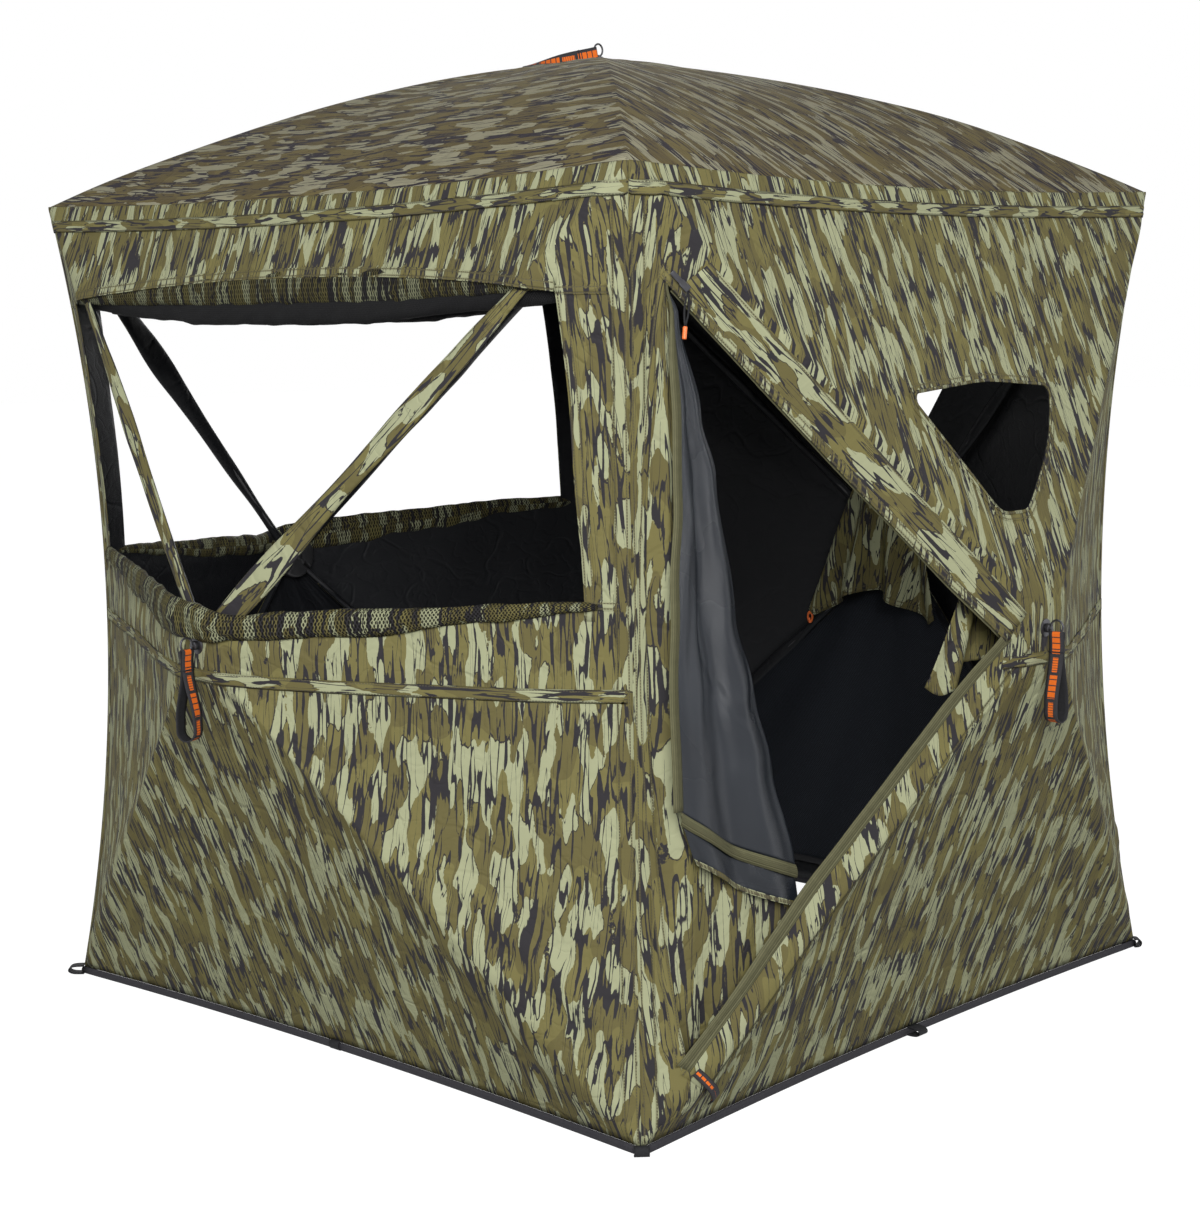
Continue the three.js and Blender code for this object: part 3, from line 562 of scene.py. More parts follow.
def zip_cloth():
    """Olive zip tape with its coil along the middle."""
    finish = Finish("zip_cloth", (0.128, 0.124, 0.064), 0.72, Specular_IOR_Level=0.15)
    along, inset, _ = finish.split(finish.uv("run"))
    rib, beat = inset.ribs(1900.0), along.ribs(3700.0)
    coil = inset.ramp(0.0062, 0.0070)
    tone = finish.noise(finish.uv("run"), 90, 2)
    colour = finish.mix(tone, (0.100, 0.096, 0.050), (0.160, 0.155, 0.084))
    # Between the ribs the tape is darkened: painted shade in the ribs' valleys.
    finish.feed("Base Color", finish.mix((1 - rib) * 0.6, colour, (0.05, 0.048, 0.026)))
    finish.bump(rib * 0.5 * (1 - coil) + coil * (1.2 + beat * 0.8), 0.0008)
    return finish.material


def grained(name, colour, roughness, metallic=0.0, scale=900):
    """Moulded plastic, rod or plated metal, with a fine grain and rubbed patches."""
    finish = Finish(name, colour, roughness, Metallic=metallic)
    place = finish.place()
    wear = finish.noise(place, 45, 3, 0.6)
    finish.feed("Base Color", finish.mix(wear, [0.8 * c for c in colour], [1.5 * c for c in colour]))
    finish.feed("Roughness", roughness - 0.1 + wear * 0.2)
    finish.bump(finish.noise(place, scale, 2), 0.0002)
    return finish.material


CAMO = camo_cloth("camo_cloth", (1, 1, 1))
# The roof's cloth is the wall's camouflage with its dyes darkened and browned: painted shade for the less light that
# the roof catches.
SHADED_ROOF_CAMO = camo_cloth("roof_cloth", (0.78, 0.71, 0.79))
SEAM = camo_seam()
BAND = camo_webbing()
COATED = coated_cloth()
LINING = satin_lining()
# The sill's and the head's nets are one printed net, darkened by 0.84 and 0.58: painted shade, deeper in the head's
# bunch.
NET = printed_net("sill_net", 0.84)
SHADED_HEAD_NET = printed_net("head_net", 0.58)
BLACK_NET = plain_net("black_net", (0.012, 0.012, 0.013), 0.0032)
# The pocket's net is the black net made lighter and bluer: partly its own bluish cord and partly painted sheen.
POCKET_NET = plain_net("pocket_net", (0.022, 0.026, 0.034), 0.0046)
WEBBING = ribbed_webbing("black_webbing", (0.020, 0.020, 0.022))
# The straps' webbing is lighter than the black webbing: painted light for the light that the straps catch.
STRAP = ribbed_webbing("strap_webbing", (0.034, 0.033, 0.036), orange=True)
HEM = ribbed_webbing("hem_binding", (0.034, 0.033, 0.038))
ZIP = zip_cloth()
NYLON = grained("moulded_nylon", (0.016, 0.016, 0.017), 0.45)
RODS = grained("fibreglass_rod", (0.020, 0.020, 0.022), 0.32, scale=400)
STEEL = grained("plated_steel", (0.055, 0.055, 0.060), 0.38, metallic=0.85)
ORANGE_PLASTIC = grained("orange_plastic", (0.72, 0.14, 0.02), 0.4)

# ---------------------------------------------------------------- modelling tools


def only(piece):
    bpy.ops.object.select_all(action="DESELECT")
    piece.select_set(True)
    bpy.context.view_layer.objects.active = piece
    return piece


def modify(piece, kind, **settings):
    """Adds a modifier and applies it."""
    only(piece)
    modifier = piece.modifiers.new(kind.lower(), kind)
    for key, value in settings.items():
        setattr(modifier, key, value)
    bpy.ops.object.modifier_apply(modifier=modifier.name)
    return piece


def edit(piece, operator, **settings):
    """Runs a mesh operator on the whole of a piece."""
    only(piece)
    bpy.ops.object.mode_set(mode="EDIT")
    bpy.ops.mesh.select_all(action="SELECT")
    operator(**settings)
    bpy.ops.object.mode_set(mode="OBJECT")
    return piece


def merge_doubles(piece, distance=1e-5):
    return edit(piece, bpy.ops.mesh.remove_doubles, threshold=distance)


def coat(piece, *finishes):
    """Gives a piece these finishes and no others."""
    piece.data.materials.clear()
    for finish in finishes:
        piece.data.materials.append(finish)
    return piece


def smooth(piece, angle=None):
    """Shades a piece smooth, but for edges sharper than an angle in degrees."""
    only(piece)
    if angle:
        bpy.ops.object.shade_smooth_by_angle(angle=math.radians(angle))
    else:
        bpy.ops.object.shade_smooth()
    return piece


def quarter(turns, size=3):
    """The matrix that turns by quarters about the upright axis."""
    return Matrix.Rotation(turns * math.pi / 2, size, "Z")


def step(low, high, x):
    """0 at low and 1 at high, with a soft step between them. low may be the larger."""
    t = min(max((x - low) / (high - low), 0.0), 1.0)
    return t * t * (3 - 2 * t)


def ripple(x, y, z):
    """Soft noise from about -1 to 1."""
    return noise.noise(Vector((x, y, z)))


def from_edge(v, width):
    """The distance from the nearer edge of a strip, at a share v of its width."""
    return (0.5 - abs(v - 0.5)) * width


def sheet(name, columns, rows, place, finishes, cloth=None, run=None):
    """A cloth of columns by rows faces. place(u, v) gives a point, and cloth(u, v) and run(u, v)
    the pattern's and the stitches' place there, for u and v from 0 to 1."""
    bpy.ops.mesh.primitive_grid_add(x_subdivisions=columns, y_subdivisions=rows, size=2)
    piece = bpy.context.object
    piece.name = name
    mesh = piece.data
    shares = [((vertex.co.x + 1) / 2, (vertex.co.y + 1) / 2) for vertex in mesh.vertices]
    while mesh.uv_layers:
        mesh.uv_layers.remove(mesh.uv_layers[0])
    for layer, at in (("cloth", cloth or run), ("run", run or cloth)):
        flat = mesh.uv_layers.new(name=layer)
        spots = [at(u, v) for u, v in shares]
        for loop in mesh.loops:
            flat.data[loop.index].uv = spots[loop.vertex_index]
    for vertex, (u, v) in zip(mesh.vertices, shares):
        vertex.co = place(u, v)
    return smooth(coat(piece, *finishes))


def thicken(piece, thickness=CLOTH, offset=-1.0):
    """Gives a sheet its thickness. A second finish of its own becomes that of its inner side."""
    inner = 1 if len(piece.data.materials) > 1 else 0
    return modify(
        piece, "SOLIDIFY", thickness=thickness, offset=offset, material_offset=inner, use_rim=True
    )


def twin(piece, name, finish, shift):
    """A copy of a sheet in another finish, moved by shift."""
    copy = bpy.data.objects.new(name, piece.data.copy())
    bpy.context.scene.collection.objects.link(copy)
    copy.data.transform(Matrix.Translation(shift))
    return coat(copy, finish)


def strip_along(name, points, widths, width, finishes, thickness=0.0016):
    """Webbing along points in space. widths gives its crosswise direction at each point."""
    last = len(points) - 1
    lengths = [0.0]
    for a, b in zip(points, points[1:]):
        lengths.append(lengths[-1] + (b - a).length)
    piece = sheet(
        name, last, 4,
        lambda u, v: points[round(u * last)] + widths[round(u * last)] * (v - 0.5) * width,
        finishes, None,
        lambda u, v: (lengths[round(u * last)], from_edge(v, width)),
    )
    return thicken(piece, thickness, offset=0.0)


BLOCK_NEAR, BLOCK_FAR = -1.4, -0.2  # a cutting block reaches through a wall


def cut(piece, outline):
    """Cuts an opening through a wall's cloth, from an outline of (across, up) points."""
    bpy.ops.mesh.primitive_circle_add(vertices=len(outline), fill_type="NGON")
    block = bpy.context.object
    for vertex, (x, z) in zip(block.data.vertices, outline):
        vertex.co = (x, BLOCK_NEAR, z)
    move = {"value": (0, BLOCK_FAR - BLOCK_NEAR, 0)}
    edit(block, bpy.ops.mesh.extrude_region_move, TRANSFORM_OT_translate=move)
    edit(block, bpy.ops.mesh.normals_make_consistent, inside=False)
    modify(piece, "BOOLEAN", object=block, operation="DIFFERENCE", solver="EXACT")
    bpy.data.objects.remove(block)
    return piece


def pin(radius, depth, place, rotation, sides, ease, segments):
    """A round or many-sided bar with eased edges."""
    bpy.ops.mesh.primitive_cylinder_add(
        vertices=sides, radius=radius, depth=depth, location=place, rotation=rotation
    )
    piece = bpy.context.object
    bpy.ops.object.transform_apply()
    return modify(piece, "BEVEL", width=ease, segments=segments, limit_method="ANGLE")


def join(name, pieces):
    only(pieces[0])
    for piece in pieces[1:]:
        piece.select_set(True)
    if len(pieces) > 1:
        bpy.ops.object.join()
    pieces[0].name = name
    return pieces[0]


def turned(piece, wall):
    """Turns a piece from the front wall's place into the wall's own."""
    only(piece)
    piece.rotation_euler.z = TURNS[wall] * math.pi / 2
    bpy.ops.object.transform_apply()
    return piece


def with_wall(piece, wall, proud=0.0):
    """Turns a piece into its wall's place and lets it follow the wall's cloth. proud is how far it
    lies outside the cloth: layers that cover each other move alike and keep their order."""
    turned(piece, wall)
    spin = quarter(TURNS[wall])
    start, end = (spin @ Vector((0, -reach - LAG - proud, HUB_Z)) for reach in (HALF, APEX))
    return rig.blend(piece, "root", f"hub_{wall}", start=start, end=end)


def with_roof(piece, proud=0.0):
    """Lets a piece follow the roof's cloth, like with_wall."""
    start, end = (Vector((0, 0, height + LAG + proud)) for height in (EAVE, ROOF_TOP))
    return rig.blend(piece, "root", "hub_roof", start=start, end=end)


ROUND_STEPS = 6  # chords in a rounded corner


def rounded(corners):
    """An outline with its corners rounded, from (point, radius) pairs."""
    outline = []
    points = [Vector(point) for point, _ in corners]
    for i, (corner, (_, radius)) in enumerate(zip(points, corners)):
        before = (points[i - 1] - corner).normalized()
        after = (points[(i + 1) % len(points)] - corner).normalized()
        half = before.angle(after) / 2
        reach = radius / math.tan(half)
        start, end = corner + before * reach, corner + after * reach
        middle = corner + (before + after).normalized() * (radius / math.sin(half))
        for k in range(ROUND_STEPS + 1):
            arm = (start - middle).lerp(end - middle, k / ROUND_STEPS).normalized() * radius
            outline.append(tuple(middle + arm))
    return outline


# ---------------------------------------------------------------- stretched cloth


def wall_edge(turn):
    """A point on a wall's edge. turn runs from 0 to 4, one for each edge, from the lower left
    corner counter-clockwise as seen from outside."""
    side, s = int(turn) % 4, 2 * (turn % 1) - 1
    bow = 1 - s * s
    pull = SEAM_BOW * bow
    if side == 0:
        return Vector((s * HALF, -HALF + HEM_BOW * bow, BASE))
    if side == 1:
        return Vector((HALF - pull, -HALF + pull, BASE + (EAVE - BASE) * (1 + s) / 2))
    if side == 2:
        return Vector((-s * HALF, -HALF + EAVE_BOW * bow, EAVE - EAVE_BOW * bow))
    return Vector((pull - HALF, -HALF + pull, BASE + (EAVE - BASE) * (1 - s) / 2))


def rumple(x, z, turn, u, seed):
    """How far slack and drag lines lift a wall's cloth."""
    hold = step(0.0, 0.18, u) * step(0.0, 0.10, 1 - u)
    corner = abs(turn - round(turn))
    rays = ripple(turn * 6.5, u * 1.6, seed) * 0.0042 * step(0.0, 0.12, corner)
    slack = ripple(x * 3.4, z * 3.4, seed + 5) * 0.0060
    drag = ripple(x * 11 + z * 6, z * 5 - x * 3, seed + 9) * 0.0016
    crush = abs(ripple(x * 17, z * 17, seed + 2)) * 0.0011
    pinch = ripple(x * 30, z * 30, seed + 4) * 0.0010 * step(0.80, 1.0, u)
    gather = ripple(turn * 26, 0.5, seed) * 0.0022 * step(0.25, 0.05, u) * step(0.03, 0.08, u)
    belt = ripple(x * 2.2, z * 24, seed + 3) * 0.0042 * step(0.09, 0.02, abs(z - WAIST))
    belt *= step(0.02, 0.12, abs(x))
    slack += belt + ripple(x * 7, z * 2.6 + x * 2, seed + 8) * 0.0022
    ridge = 0.0025 * step(0.05, 0.0, corner) * step(0, 0.3, u)
    foot = min(turn, 4 - turn) if turn > 2 else min(turn, abs(1 - turn))
    fan = ripple(turn * 19, u * 1.2, seed + 6) * 0.019 * step(0.40, 0.0, foot) * step(0.35, 0.8, u)
    ridge += abs(fan) * step(0.0, 0.03, foot)
    return (rays + slack + drag + crush) * hold + (pinch + gather) * hold + ridge * hold


def wall_place(seed):
    """A wall's cloth as a function of u, from its hub to its edge, and v, round the wall."""
    centre = Vector((0, -APEX, HUB_Z))

    def place(u, v):
        turn = 4 * v
        edge = wall_edge(turn)
        rim = centre + Vector((edge.x, 0, edge.z - HUB_Z)).normalized() * DISC_R
        if u <= DISC_SHARE:
            return centre.lerp(rim, u / DISC_SHARE)
        point = rim.lerp(edge, (u - DISC_SHARE) / (1 - DISC_SHARE))
        point.y -= rumple(point.x, point.z, turn, u, seed)
        return point

    return place


# the slots of a wall's trims by their finish, where it isn't webbing
SLOTS = {"camo_cloth": "camo_fabric", "camo_seam": "camo_fabric", "zip_cloth": "zip_tape"}
WALL_FLAT = (1.56, 1.54)
WALL_AREAS = {"front": 1.85, "right": 2.21, "back": 1.58, "left": 1.58}  # less the openings
TAPE_STEP = 0.014  # length of a tape's faces


class Wall:
    """One wall's cloth, in the front wall's place, and the surface that its trim lies on."""

    RINGS = 48  # of faces, from the hub to the edge
    SIDE = 52  # faces along each of the four edges

    def __init__(self, name):
        self.name = name
        self.seed = 3.7 * TURNS[name] + 1.3
        self.trims = {}
        place = wall_place(self.seed)
        shift = (2.3 * TURNS[name] + 0.4, 1.7 * TURNS[name])

        def grain(u, v):
            point = place(u, v)
            return point.x + shift[0], point.z + shift[1]

        self.cloth = sheet(f"wall_{name}_cloth", self.RINGS, 4 * self.SIDE, place, [CAMO], grain)
        merge_doubles(self.cloth)
        self.lining = twin(self.cloth, f"wall_{name}_lining", COATED, (0, LINING_GAP, 0))
        mesh = self.cloth.data
        self.face = BVHTree.FromPolygons(
            [vertex.co for vertex in mesh.vertices], [face.vertices for face in mesh.polygons]
        )
        self.shift = shift

    def spot(self, x, z, lift=0.0):
        """The cloth's point at a place across and up the wall, lifted off it, and its normal."""
        point, normal, _, _ = self.face.ray_cast(Vector((x, -3, z)), Vector((0, 1, 0)))
        if point is None:
            point, normal, _, _ = self.face.find_nearest(Vector((x, -HALF, z)))
        if normal.y > 0:
            normal = -normal
        return point + normal * lift, normal

    def tape(
        self, route, width, lift, finish, thickness=0.0008, rows=4, along=False, crown=0.0, wave=0.0
    ):
        """A strip of cloth or webbing laid on the wall along a route of (across, up) points, lifted
        off it. along makes its print run with its length, crown is how far its middle stands up
        and wave how far slack lifts it."""
        line = evenly(route, TAPE_STEP)
        sides = offsets(line)
        lengths = [0.0]
        for (a, b), (c, d) in zip(line, line[1:]):
            lengths.append(lengths[-1] + math.hypot(c - a, d - b))
        last = len(line) - 1
        points = []
        for (x, z), (sx, sz) in zip(line, sides):
            for k in range(rows + 1):
                t = 2 * k / rows - 1
                rise = lift + crown * (1 - t * t)
                spot, _ = self.spot(x + sx * t * width / 2, z + sz * t * width / 2, rise)
                if wave:
                    spot.y -= abs(ripple(x * 9, z * 9, k * 0.3 + self.seed)) * wave
                points.append(spot)

        def index(u, v):
            return round(u * last) * (rows + 1) + round(v * rows)

        def cloth(u, v):
            if along:
                return (v - 0.5) * width + self.shift[0], lengths[round(u * last)] + self.shift[1]
            point = points[index(u, v)]
            return point.x + self.shift[0], point.z + self.shift[1]

        strip = sheet(
            f"strip_{self.name}", last, rows, lambda u, v: points[index(u, v)], [finish], cloth,
            lambda u, v: (lengths[round(u * last)], from_edge(v, width)),
        )
        middle = strip.data.polygons[len(strip.data.polygons) // 2]
        if middle.normal.y > 0:
            edit(strip, bpy.ops.mesh.flip_normals)
        thicken(strip, thickness, offset=1.0)
        self.trims.setdefault(finish.name, []).append(strip)

    def finish(self):
        """Turns the cloth and its trims into their place and lets them move with the hub."""
        with_wall(self.cloth, self.name)
        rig.slot(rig.replaces(self.cloth, f"wall_{self.name}"), "camo_fabric")
        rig.slot(with_wall(self.lining, self.name, -LINING_GAP), "lining_fabric")
        sewn = []
        for kind, strips in self.trims.items():
            sewn.append(join(f"wall_{self.name}_{kind}", strips))
            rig.slot(with_wall(sewn[-1], self.name, TRIM_RISE), SLOTS.get(kind, "webbing"))
            if kind == "zip_cloth":
                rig.replaces(sewn[-1], "door_zip_tape")
        for layer, pieces in ((self.cloth, sewn), (self.lining, [])):
            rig.sheet(
                layer, flat=WALL_FLAT, held="stretched", area=WALL_AREAS[self.name],
                rests_on=[f"hub_{self.name}", "ground_hem"], with_pieces=pieces,
            )


def curve_through(points):
    """A smooth function of x through (x, value) points."""

    def value(x):
        if x <= points[0][0]:
            return points[0][1]
        for (a, p), (b, q) in zip(points, points[1:]):
            if x <= b:
                return p + (q - p) * step(a, b, x)
        return points[-1][1]

    return value


def evenly(route, length):
    """Points along a route, no further apart than a length, with its own points kept."""
    line = [tuple(route[0])]
    for (a, b), (c, d) in zip(route, route[1:]):
        count = max(1, math.ceil(math.hypot(c - a, d - b) / length))
        line += [(a + (c - a) * k / count, b + (d - b) * k / count) for k in range(1, count + 1)]
    return line


def offsets(line):
    """Sideways steps at each point of a line, longer at its corners to keep a strip's width."""
    sides = []
    closed = math.dist(line[0], line[-1]) < 1e-6
    for i in range(len(line)):
        before = line[i - 1] if i else (line[-2] if closed else None)
        after = line[i + 1] if i + 1 < len(line) else (line[1] if closed else None)
        ways = []
        for p, q in ((before, line[i]), (line[i], after)):
            if p and q:
                size = math.dist(p, q)
                ways.append(Vector((-(q[1] - p[1]) / size, (q[0] - p[0]) / size)))
        total = ways[0] + ways[-1]
        side = total.normalized()
        sides.append(tuple(side / max(side.dot(ways[0]), 0.4)))
    return sides


def flat_seams(wall):
    """The felled seams inside a wall's two upright edges."""
    for sign in (-1, 1):
        route = []
        for k in range(25):
            edge = wall_edge(1 + k / 24)
            route.append((sign * (edge.x - 0.013), min(max(edge.z, BASE + 0.004), EAVE - 0.004)))
        wall.tape(route, 0.022, 0.0004, SEAM)


band_height = curve_through([
    (-0.72, 0.716), (-0.50, 0.714), (-0.08, 0.699), (0.14, 0.694), (0.36, 0.690), (0.71, 0.694),
])
BAND_END = 0.70  # how far the band reaches to each side
BAND_WIDTH = 0.021


def waist_band(wall, left):
    """The printed webbing that runs across a wall below its hub."""
    places = [left + (BAND_END - left) * k / 30 for k in range(31)]
    route = [(x, band_height(x) + 0.0012 * math.cos(17 * x)) for x in places]
    wall.tape(route, BAND_WIDTH, 0.0010, BAND, thickness=0.0012, along=True)


# ---------------------------------------------------------------- openings

sill_high = curve_through([
    (-0.63, 0.852), (-0.49, 0.850), (-0.19, 0.836), (-0.02, 0.822), (0.087, 0.804), (0.17, 0.812),
    (0.29, 0.820), (0.63, 0.838),
])
sill_low = curve_through([
    (-0.63, 0.822), (-0.49, 0.817), (-0.35, 0.785), (-0.07, 0.757), (0.04, 0.756), (0.10, 0.761),
    (0.29, 0.774), (0.475, 0.802), (0.62, 0.822),
])
window_sill = []
window_arch = []
for k in range(2 * WINDOW_STEPS + 1):
    x = WINDOW_HALF * (k / WINDOW_STEPS - 1)
    window_sill.append((x, (sill_low(x) + sill_high(x)) / 2))
    s = 1 - k / WINDOW_STEPS
    window_arch.append((WINDOW_HALF * s, WINDOW_HEAD + WINDOW_ARCH * (1 - s * s) ** 0.8))
window_outline = window_sill + window_arch
port_outline = rounded([
    ((-0.047, PORT_SILL), 0.042), ((0.024, PORT_SILL), 0.042), ((0.168, 1.050), 0.30),
    ((0.207, PORT_HEAD - 0.010), 0.014), ((0.02, PORT_HEAD + 0.004), 0.6),
    ((-0.214, PORT_HEAD - 0.011), 0.013),
])
door_outline = [(DOOR_HINGE, DOOR_TOP), (DOOR_HINGE, DOOR_BOTTOM), DOOR_TIP]


def eave_trims(wall):
    """The roof cloth's turned-down edge and the printed webbing that is sewn below it."""
    edge = [wall_edge(2 + k / 48) for k in range(49)]
    for drop, width, lift, finish in ((0.013, 0.030, 0.0016, CAMO), (0.037, BAND_WIDTH, 0.0022, BAND)):
        route = [(point.x, point.z - drop) for point in edge]
        wall.tape(route, width, lift, finish, along=finish is BAND, rows=6)


def ring_of(outline):
    return [*outline, outline[0]]


def grown(outline, distance):
    """An outline moved outwards all round."""
    closed = ring_of(outline)
    turning = sum(a[0] * b[1] - b[0] * a[1] for a, b in zip(closed, closed[1:]))
    sign = -1 if turning > 0 else 1
    sides = offsets(closed)[:-1]
    reach = sign * distance
    return [(x + reach * sx, z + reach * sz) for (x, z), (sx, sz) in zip(outline, sides)]


def window_trims(wall):
    """The facings of a wide window's ends, the tacks at its corners and its valance's binding."""
    for x in (-WINDOW_HALF, WINDOW_HALF):
        out = math.copysign(0.008, x)
        wall.tape([(x + out, WINDOW_SILL - 0.004), (x + out, WINDOW_HEAD)], 0.016, 0.0004, SEAM)
        for z in (WINDOW_HEAD + 0.002, WINDOW_SILL + 0.020):
            wall.tape([(x, z), (x * 1.115, z)], 0.014, 0.0008, SEAM)
    valance = [(x, z + 0.008) for x, z in window_arch]
    wall.tape(valance, 0.016, 0.0006, SEAM, rows=3, wave=0.004)


def port_trims(wall):
    """The facing round a ported window and the cord sewn along its edge."""
    wall.tape(ring_of(grown(port_outline, 0.007)), 0.014, 0.0006, SEAM)
    wall.tape(ring_of(grown(port_outline, 0.0015)), 0.005, 0.0016, BAND, thickness=0.0012)


def door_trims(wall):
    """The facings, zip tapes and zip cover along the door's two slanting edges, and its hinge seam."""
    top, bottom, tip = (Vector(point) for point in door_outline)
    for start, sign in ((top, 1), (bottom, -1)):
        way = (tip - start).normalized()
        out = Vector((-way.y, way.x)) * sign

        def line(gap, early, late):
            return [tuple(start + way * early + out * gap), tuple(tip + out * gap + way * late)]

        if sign > 0:
            wall.tape(line(0.031, 0.024, 0.010), 0.054, 0.0006, SEAM, along=True, rows=6, wave=0.002)
            wall.tape(line(0.004, -0.01, 0.012), 0.013, 0.0018, SEAM, thickness=0.0016, crown=0.0012)
            wall.tape(line(0.006, 0.02, 0.0), 0.022, -0.0040, ZIP)
        else:
            wall.tape(line(0.034, -0.02, 0.020), 0.050, 0.0006, SEAM, rows=6, wave=0.002)
            wall.tape(line(0.007, -0.01, 0.006), 0.019, 0.0016, ZIP, thickness=0.0014)
    hinge = [(HINGE_SEAM, DOOR_TOP + 0.02), (HINGE_SEAM, DOOR_BOTTOM - 0.01)]
    wall.tape(hinge, 0.016, 0.0008, SEAM)


walls = {name: Wall(name) for name in TURNS}
for name, wall in walls.items():
    for layer in (wall.cloth, wall.lining):
        thicken(layer)
        cut(layer, window_outline if name in WINDOW_WALLS else port_outline)
        if name == "front":
            cut(layer, door_outline)
    flat_seams(wall)
for name in ("left", "back", "right", "front"):
    waist_band(walls[name], -0.095 if name == "front" else -BAND_END)
for name, wall in walls.items():
    eave_trims(wall)
    if name in WINDOW_WALLS:
        window_trims(wall)
    else:
        port_trims(wall)
door_trims(walls["front"])
for wall in walls.values():
    wall.finish()

# ---------------------------------------------------------------- roof

ROOF_FLAT = (1.56, 1.56)


def roof_edge(turn):
    """A point on the roof's edge, for turn from 0 to 4 like wall_edge."""
    side, s = int(turn) % 4, 2 * (turn % 1) - 1
    bow = EAVE_BOW * (1 - s * s)
    point = Vector((s * HALF, -HALF + bow, EAVE - bow))
    return quarter(side) @ point


def roof_place(u, v):
    turn = 4 * v
    edge = roof_edge(turn)
    centre = Vector((0, 0, ROOF_TOP))
    rim = centre + Vector((edge.x, edge.y, 0)).normalized() * DISC_R
    if u <= DISC_SHARE:
        return centre.lerp(rim, u / DISC_SHARE)
    t = (u - DISC_SHARE) / (1 - DISC_SHARE)
    point = rim.lerp(edge, t)
    hold = step(0.0, 0.2, u) * step(0.0, 0.1, 1 - u)
    corner = abs(turn - round(turn))
    slack = ripple(point.x * 3, point.y * 3, 21) * 0.006
    rays = ripple(turn * 6, u * 1.5, 22) * 0.004 * step(0.0, 0.12, corner)
    point.z += ROOF_BOW * 4 * t * (1 - t) + (slack + rays) * hold
    return point


def roof_grain(u, v):
    point = roof_place(u, v)
    return point.x + 9.1, point.y + 4.4


roof = sheet("roof_cloth", Wall.RINGS, 4 * Wall.SIDE, roof_place, [SHADED_ROOF_CAMO], roof_grain)
merge_doubles(roof)
roof_lining = twin(roof, "roof_lining", COATED, (0, 0, -LINING_GAP))
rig.slot(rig.replaces(with_roof(thicken(roof)), "roof_skin"), "camo_fabric")
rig.slot(with_roof(thicken(roof_lining), -LINING_GAP), "lining_fabric")
for layer in (roof, roof_lining):
    rests = ["hub_roof", *(f"wall_{name}" for name in TURNS)]
    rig.sheet(layer, flat=ROOF_FLAT, held="stretched", rests_on=rests)

# ---------------------------------------------------------------- rolls of net

NET_CUT = 0.46  # height of a window's net before it is rolled up
NET_TURNS = 6


def roll(name, wall, half, low, high, depth, out, finish, lumps, seed):
    """Net wound up along a wall, half its length to each side. low and high give the roll's lower
    and upper edge and depth its thickness, for a place across. out is how far its middle lies
    outside the wall's face, and lumps how uneven it is."""

    def place(u, v):
        x = (2 * u - 1) * half
        angle = math.tau * (NET_TURNS * v - 0.25)
        wound = 1 - 0.8 * v
        bottom, top = low(x), high(x)
        spot, _ = wall.spot(x, (bottom + top) / 2)
        swell = 1 + lumps * ripple(x * 26 + 9 * math.cos(angle), 2.2 * math.sin(angle) + x * 9, seed)
        end = step(0, 0.015, u) * step(0, 0.015, 1 - u) * 0.5 + 0.5
        height = (top - bottom) / 2 * (0.25 + 0.75 * end)
        return Vector((
            x,
            spot.y - out - math.sin(angle) * depth(x) / 2 * swell * end * wound,
            (bottom + top) / 2 - math.cos(angle) * height * wound * (1 + (swell - 1) * 0.35),
        ))

    piece = sheet(
        name, 150, 16 * NET_TURNS, place, [finish],
        lambda u, v: ((2 * u - 1) * half + 1.7 * seed, v * NET_CUT + 0.5 * seed),
    )
    return thicken(piece, 0.0006, offset=0.0)


arch = curve_through([
    (-0.65, 1.311), (-0.37, 1.327), (-0.07, 1.337), (0.29, 1.334), (0.53, 1.326), (0.65, 1.309),
])
head_low = curve_through([
    (-0.64, 1.303), (-0.35, 1.297), (-0.14, 1.292), (0.22, 1.290), (0.41, 1.297), (0.64, 1.306),
])
sag_low = curve_through([
    (-0.62, 1.296), (-0.34, 1.271), (-0.25, 1.262), (0.16, 1.259), (0.46, 1.276), (0.62, 1.286),
])
HEAD_HALF, SAG_HALF, SILL_HALF = 0.640, 0.612, 0.636
for name in WINDOW_WALLS:
    wall = walls[name]
    header, curtain = f"curtain_header_{name}", f"window_curtain_{name}"
    head = roll(
        f"net_bunch_{name}", wall, HEAD_HALF, head_low, lambda x: arch(x) + 0.016, lambda x: 0.020,
        -0.0125, SHADED_HEAD_NET, 0.35, 2.0,
    )
    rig.slot(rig.ride(turned(head, name), header), "window_mesh")
    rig.replaces(head, header)
    sag = turned(roll(
        f"net_sag_{name}", wall, SAG_HALF, sag_low, lambda x: head_low(x) + 0.016, lambda x: 0.030,
        -0.034, BLACK_NET, 0.3, 4.0,
    ), name)
    start, end = (quarter(TURNS[name]) @ Vector((0, -0.80, height)) for height in (1.299, 1.270))
    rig.blend(sag, header, curtain, start=start, end=end)
    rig.slot(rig.replaces(sag, curtain), "window_mesh")
    sill = roll(
        f"sill_net_{name}", wall, SILL_HALF, sill_low, sill_high,
        lambda x: 0.020 + 0.012 * step(0.5, 0.0, abs(x)), 0.003, NET, 0.55, 7.0,
    )
    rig.slot(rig.replaces(with_wall(sill, name), f"sill_roll_{name}"), "window_mesh")
    for net, half in ((head, HEAD_HALF), (sag, SAG_HALF), (sill, SILL_HALF)):
        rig.sheet(net, flat=(2 * half, NET_CUT), held="gathered", rests_on=[f"wall_{name}"])

# ---------------------------------------------------------------- pole sleeves


